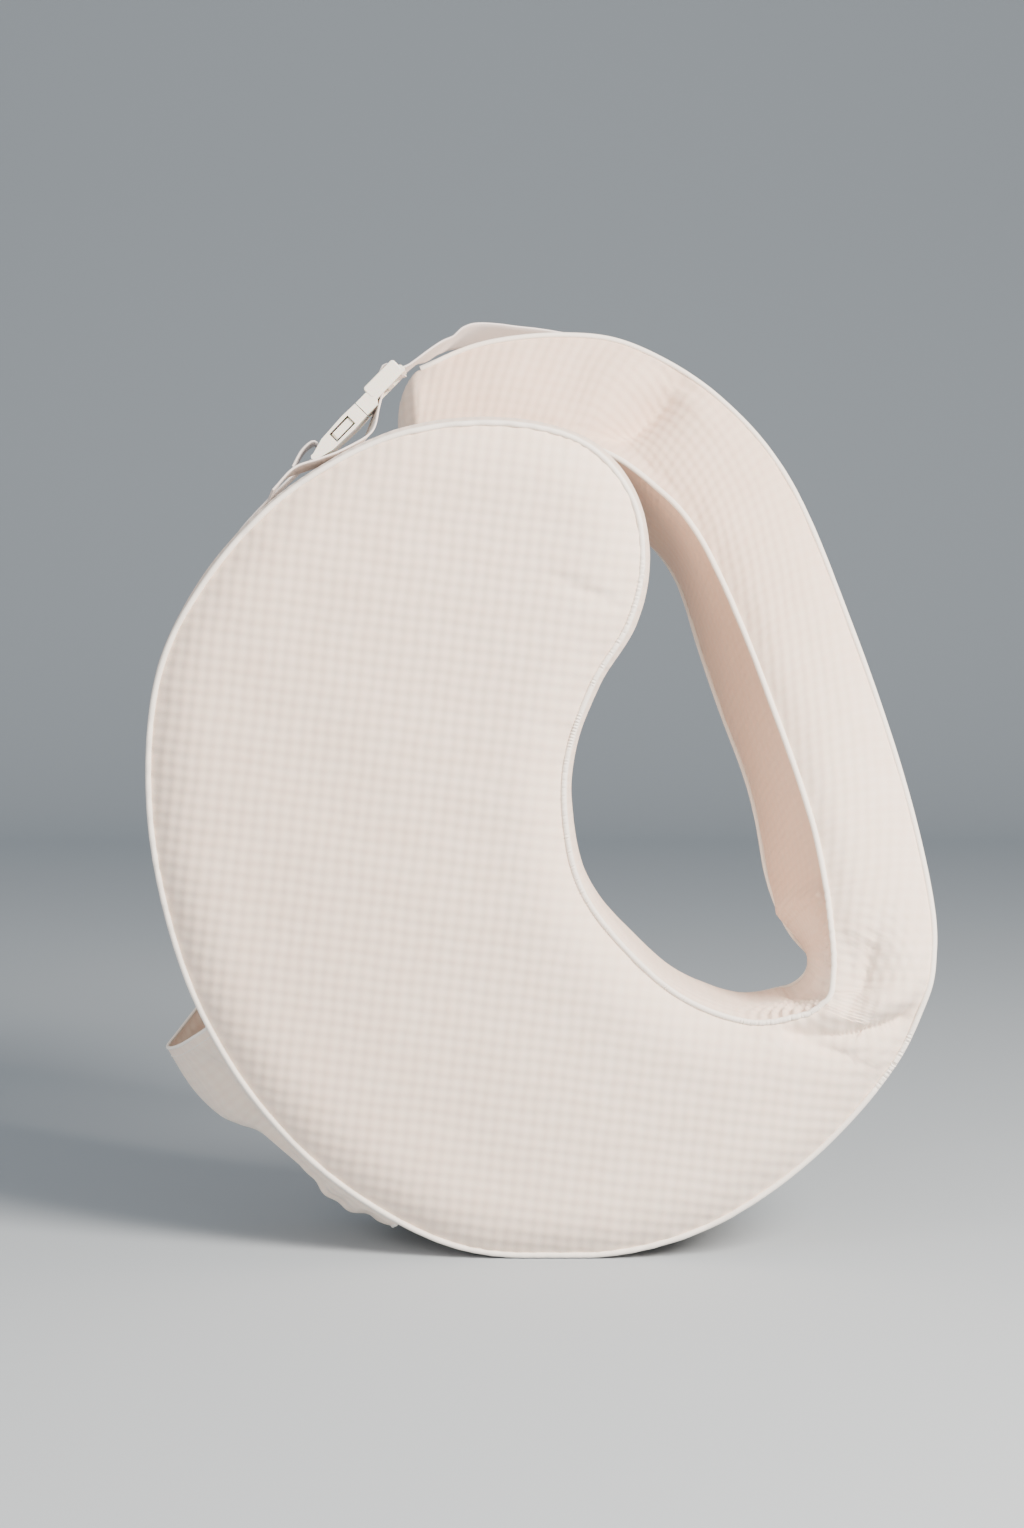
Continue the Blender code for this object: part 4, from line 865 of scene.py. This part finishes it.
def woven_webbing():
    """Polypropylene tape: heavy ribbed weave with a slight sheen, and a firm selvedge."""
    made, tree = empty_material("woven_polypropylene")
    pattern = add(tree, "ShaderNodeUVMap", uv_map="UVMap").outputs["UV"]
    split = add(tree, "ShaderNodeSeparateXYZ", {0: pattern})
    waves = []
    for axis, pitch in (("X", 0.0016), ("Y", 0.0022)):
        turns = add(tree, "ShaderNodeMath", {0: split.outputs[axis], 1: 2 * math.pi / pitch},
                    operation="MULTIPLY")
        waves.append(add(tree, "ShaderNodeMath", {0: turns.outputs[0]}, operation="SINE"))
    weave = add(tree, "ShaderNodeMath", {0: waves[0].outputs[0], 1: waves[1].outputs[0]},
                operation="MULTIPLY")
    height = add(tree, "ShaderNodeMath", {0: weave.outputs[0], 1: 0.5, 2: 0.5},
                 operation="MULTIPLY_ADD")
    tint = add(tree, "ShaderNodeMix", {0: height.outputs[0], 6: linear("#DAD3D2"),
                                       7: linear("#F0EBEA")}, data_type="RGBA")
    relief = add(tree, "ShaderNodeBump", {"Height": height.outputs[0], "Strength": 0.8,
                                          "Distance": 0.0003})
    finish_material(tree, add(tree, "ShaderNodeBsdfPrincipled", {
        "Base Color": tint.outputs[2], "Roughness": 0.55, "Sheen Weight": 0.1,
        "Normal": relief.outputs[0]}))
    return made


webbing = woven_webbing()
bar, clear = SOCKET_BAR, BAR_CLEAR
y_short = BUCKLE_DEPTH - 0.012
route = [side_band(s, y_short, GAP + TAPE / 2) for s in (0.476, 0.488, 0.500, 0.512, 0.524, 0.536)]
route += [side_band(0.552, y_short + 0.004, GAP + 0.0030),
          in_buckle(SOCKET_REAR - 0.018, -0.002, -0.0030), in_buckle(SOCKET_REAR - 0.006, 0, -clear),
          in_buckle(bar - 0.001, 0, -clear), in_buckle(bar + clear * 0.8, 0, -clear * 0.7),
          in_buckle(bar + clear * 1.05, 0, 0.0), in_buckle(bar + clear * 0.8, 0, clear * 0.7),
          in_buckle(bar - 0.001, 0, clear), in_buckle(SOCKET_REAR - 0.006, 0, clear - 0.0004),
          in_buckle(SOCKET_REAR - 0.016, -0.001, 0.0008)]
bm = bmesh.new()
tape_mesh(bm, Line(route).point(np.linspace(0, 1, 150)) + STAND, WEBBING, TAPE)
short_strap = place_mesh("short_strap", bm, webbing)
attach(short_strap, "cushion")
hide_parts("strap_webbing_short")

lift = GAP * 2 + TAPE / 2
route = [arm_band_top(t, lift) for t in (0.80, 0.815, 0.83, 0.845)]
route += [np.array(p) - STAND for p in (
    (-0.0160, 0.0860, 0.6065), (-0.0350, 0.0720, 0.6075), (-0.0500, 0.0520, 0.6055),
    (-0.0590, 0.0310, 0.6010), (-0.0655, 0.0110, 0.5945))]
route += [in_buckle(0.0560, 0.007, -0.0078)]
route += [in_buckle(LADDER_BAR + a, 0, h) for a, h in (
    (0.0130, -0.0056), (0.0090, -0.0042), (0.0066, -0.0024), (0.0051, -0.0002), (0.0044, 0.0020),
    (0.0026, 0.0042), (0.0, 0.0046), (-0.0026, 0.0042), (-0.0044, 0.0020), (-0.0051, -0.0002),
    (-0.0066, -0.0024), (-0.0090, -0.0044), (-0.0120, -0.0064))]
route.append(in_buckle(0.003, -0.001, -0.0120))
route += [side_band(share, y, lift - GAP + off) for share, y, off in (
    (0.606, 0.028, 0.0030), (0.594, 0.010, 0.0006), (0.585, 0.000, 0.0028),
    (0.576, -0.008, 0.0062), (0.566, -0.014, 0.0020))]
flat = unit(arm_band_top(0.815, 0.0, 0.4) - arm_band_top(0.815, 0.0, 0.6))
bm = bmesh.new()
tape_mesh(bm, Line(route).point(np.linspace(0, 1, 260)) + STAND, WEBBING, TAPE, flat, roll=0.30)
long_strap = place_mesh("long_strap", bm, webbing)
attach(long_strap, "arm")
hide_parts("strap_webbing_long")


# ---- Side-release buckle ----
# Moulded acetal, milky white and slightly glossy. The moulder rounds every edge, so the pieces
# keep their shape from the frame and get a small radius all round.
def moulded_acetal():
    """Moulded acetal: milky, half gloss, with a very fine grain from the mould."""
    made, tree = empty_material("moulded_acetal")
    place = add(tree, "ShaderNodeTexCoord").outputs["Object"]
    cloud = add(tree, "ShaderNodeTexNoise", {"Vector": place, "Scale": 90.0, "Detail": 2.0})
    tint = add(tree, "ShaderNodeMix", {0: cloud.outputs["Fac"], 6: linear("#F1EDE2"),
                                       7: linear("#F7F4EC")}, data_type="RGBA")
    grain = add(tree, "ShaderNodeTexNoise", {"Vector": place, "Scale": 1400.0, "Detail": 2.0})
    relief = add(tree, "ShaderNodeBump", {"Height": grain.outputs["Fac"], "Strength": 0.12,
                                          "Distance": 0.0001})
    finish_material(tree, add(tree, "ShaderNodeBsdfPrincipled", {
        "Base Color": tint.outputs[2], "Roughness": 0.36, "IOR": 1.48, "Subsurface Weight": 0.15,
        "Subsurface Scale": 0.002, "Normal": relief.outputs[0]}))
    return made


def finish_node(name, material, radius):
    """Gives a piece of the frame its material and rounds its edges."""
    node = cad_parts[name]
    node.data.materials.clear()
    node.data.materials.append(material)
    round_edges = node.modifiers.new("rounded_edges", "BEVEL")
    round_edges.width = radius
    round_edges.segments = 3
    round_edges.limit_method = "ANGLE"
    round_edges.angle_limit = math.radians(35)
    round_edges.harden_normals = True


acetal = moulded_acetal()
for name, radius in (("buckle_socket", 0.0007), ("buckle_plug", 0.0007),
                     ("buckle_prong_near", 0.0005), ("buckle_prong_far", 0.0005)):
    finish_node(name, acetal, radius)


def rounded_cheek(bm, start, end, low, high, near, far, corner):
    """A flat cheek with round corners, in the buckle's own directions."""
    corners = ((end - corner, high - corner, 0), (start + corner, high - corner, 90),
               (start + corner, low + corner, 180), (end - corner, low + corner, 270))
    outline = [(a + corner * math.cos(math.radians(turn + k)),
                b + corner * math.sin(math.radians(turn + k)))
               for a, b, turn in corners for k in range(0, 91, 15)]
    verts = [[bm.verts.new(in_buckle(a, wide, b) + STAND) for a, b in outline]
             for wide in (near, far)]
    for i in range(len(outline)):
        k = (i + 1) % len(outline)
        bm.faces.new((verts[0][i], verts[0][k], verts[1][k], verts[1][i]))
    bm.faces.new(verts[0][::-1])
    bm.faces.new(verts[1])


bm = bmesh.new()
for near, far in ((-0.0196, -0.0160), (0.0160, 0.0196)):
    rounded_cheek(bm, 0.0085, 0.0365, -0.0050, 0.0044, near, far, 0.0022)
bmesh.ops.recalc_face_normals(bm, faces=bm.faces)
cheeks = place_mesh("ladder_cheeks", bm, acetal)
rim = cheeks.modifiers.new("rounded_edges", "BEVEL")
rim.width = 0.0008
rim.segments = 3
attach(cheeks, "arm")


# ---- Patches over the strap ends ----
# Small squares of the cover's knit, sewn over the strap ends on the side band and on the arm.
# They hide the raw ends of the webbing and spread its pull over the cover.
# It is the plain side of the knit: matt, with loose fibre and no squares.
patch_knit = textured("knit_patch", "ShaderNodeTexNoise", {"Scale": 1100.0, "Detail": 3.0},
                      ("#E6D9CE", "#F4ECE5"), {"Roughness": 0.88, "Sheen Weight": 0.25},
                      relief=(0.6, 0.0003))
for name in ("strap_patch_short", "strap_patch_long"):
    finish_node(name, patch_knit, 0.0004)


# ---- Zipper ----
# A nylon coil zipper in the back panel, through which the insert goes in. The slider and its pull
# are lacquered zinc, the tapes are woven polyester, and a stitched cotton placket runs on each
# side of the coil.
# Woven polyester: fine ribs across the tape, nearly matt.
tape_cloth = textured("woven_polyester_tape", "ShaderNodeTexWave",
                      {"Scale": 320.0, "Distortion": 0.3}, ("#DDD5CC", "#EFE9E2"),
                      {"Roughness": 0.7}, relief=(0.5, 0.0002), bands_direction="Z")
# Drawn nylon: a smooth milky filament with a soft shine.
nylon = textured("nylon_coil", "ShaderNodeTexNoise", {"Scale": 300.0}, ("#E6DFD6", "#F2EDE6"),
                 {"Roughness": 0.42, "IOR": 1.53})
# Die-cast zinc under a cream lacquer: only the lacquer shows, so it isn't metallic.
zinc = textured("lacquered_zinc", "ShaderNodeTexNoise", {"Scale": 600.0, "Detail": 3.0},
                ("#DDD6CC", "#EAE4DB"), {"Roughness": 0.3, "Coat Weight": 0.5},
                relief=(0.1, 0.0001))
COIL_PITCH, COIL_INSET, FILAMENT = 0.0016, 0.0015, 0.0003
coil_low, coil_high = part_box("zipper_coil")
coil_x = (coil_low[0] + coil_high[0]) / 2
coil_y = (coil_low[1] + coil_high[1]) / 2
bm = bmesh.new()
for side in (-1, 1):
    turns = np.arange(0, (coil_high[2] - coil_low[2] - 2 * COIL_INSET) / COIL_PITCH, 1 / 10)
    a = turns * 2 * math.pi + (0 if side < 0 else math.pi)
    path = np.stack((coil_x + side * (0.0009 - 0.0008 * np.cos(a)), coil_y + 0.0006 * np.sin(a),
                     coil_low[2] + COIL_INSET + turns * COIL_PITCH), -1)
    cord_mesh(bm, path, FILAMENT, 5)
coil = place_mesh("zipper_teeth", bm, nylon, sharp=80)
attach(coil, "cushion")
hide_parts("zipper_coil")
for side, name in ((-1, "left"), (1, "right")):
    z = np.linspace(coil_low[2] - 0.004, coil_high[2] + 0.004, 60)
    fold = np.stack((np.full(60, coil_x + side * 0.0068), np.full(60, coil_y + 0.0012), z), -1)
    fold[:, 1] += perlin(fold, 60, 5) * 0.0003
    bm = bmesh.new()
    tape_mesh(bm, fold, 0.0090, 0.0016, (1.0, 0.0, 0.0), (1.0, 0.0, 0.0))
    flap = place_mesh("zipper_placket_" + name, bm, piping_cotton)
    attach(flap, "cushion")
    bm = bmesh.new()
    stitch_row(bm, fold[1:-1:3] + (side * 0.0026, 0.0009, 0.0))
    stitches = place_mesh("zipper_stitches_" + name, bm, thread)
    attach(stitches, "cushion")
for name in ("zipper_tape_left", "zipper_tape_right"):
    finish_node(name, tape_cloth, 0.0002)
for name in ("zipper_slider", "zipper_pull", "zipper_bottom_stop", "zipper_top_stop"):
    finish_node(name, zinc, 0.0004)


# ---- Care label ----
# A blank ribbon of white satin. It is sewn flat to the back panel beside the zipper, away from
# the skin.
def satin():
    """Woven satin ribbon: smooth, with a sheen from its long threads."""
    made, tree = empty_material("satin_ribbon")
    place = add(tree, "ShaderNodeTexCoord").outputs["Object"]
    threads = add(tree, "ShaderNodeTexWave", {"Vector": place, "Scale": 500.0},
                  bands_direction="X")
    relief = add(tree, "ShaderNodeBump", {"Height": threads.outputs["Fac"], "Strength": 0.15,
                                          "Distance": 0.0001})
    finish_material(tree, add(tree, "ShaderNodeBsdfPrincipled", {
        "Base Color": linear("#F6F4F1"), "Roughness": 0.34, "Sheen Weight": 0.2,
        "Normal": relief.outputs[0]}))
    return made


finish_node("care_label", satin(), 0.0002)
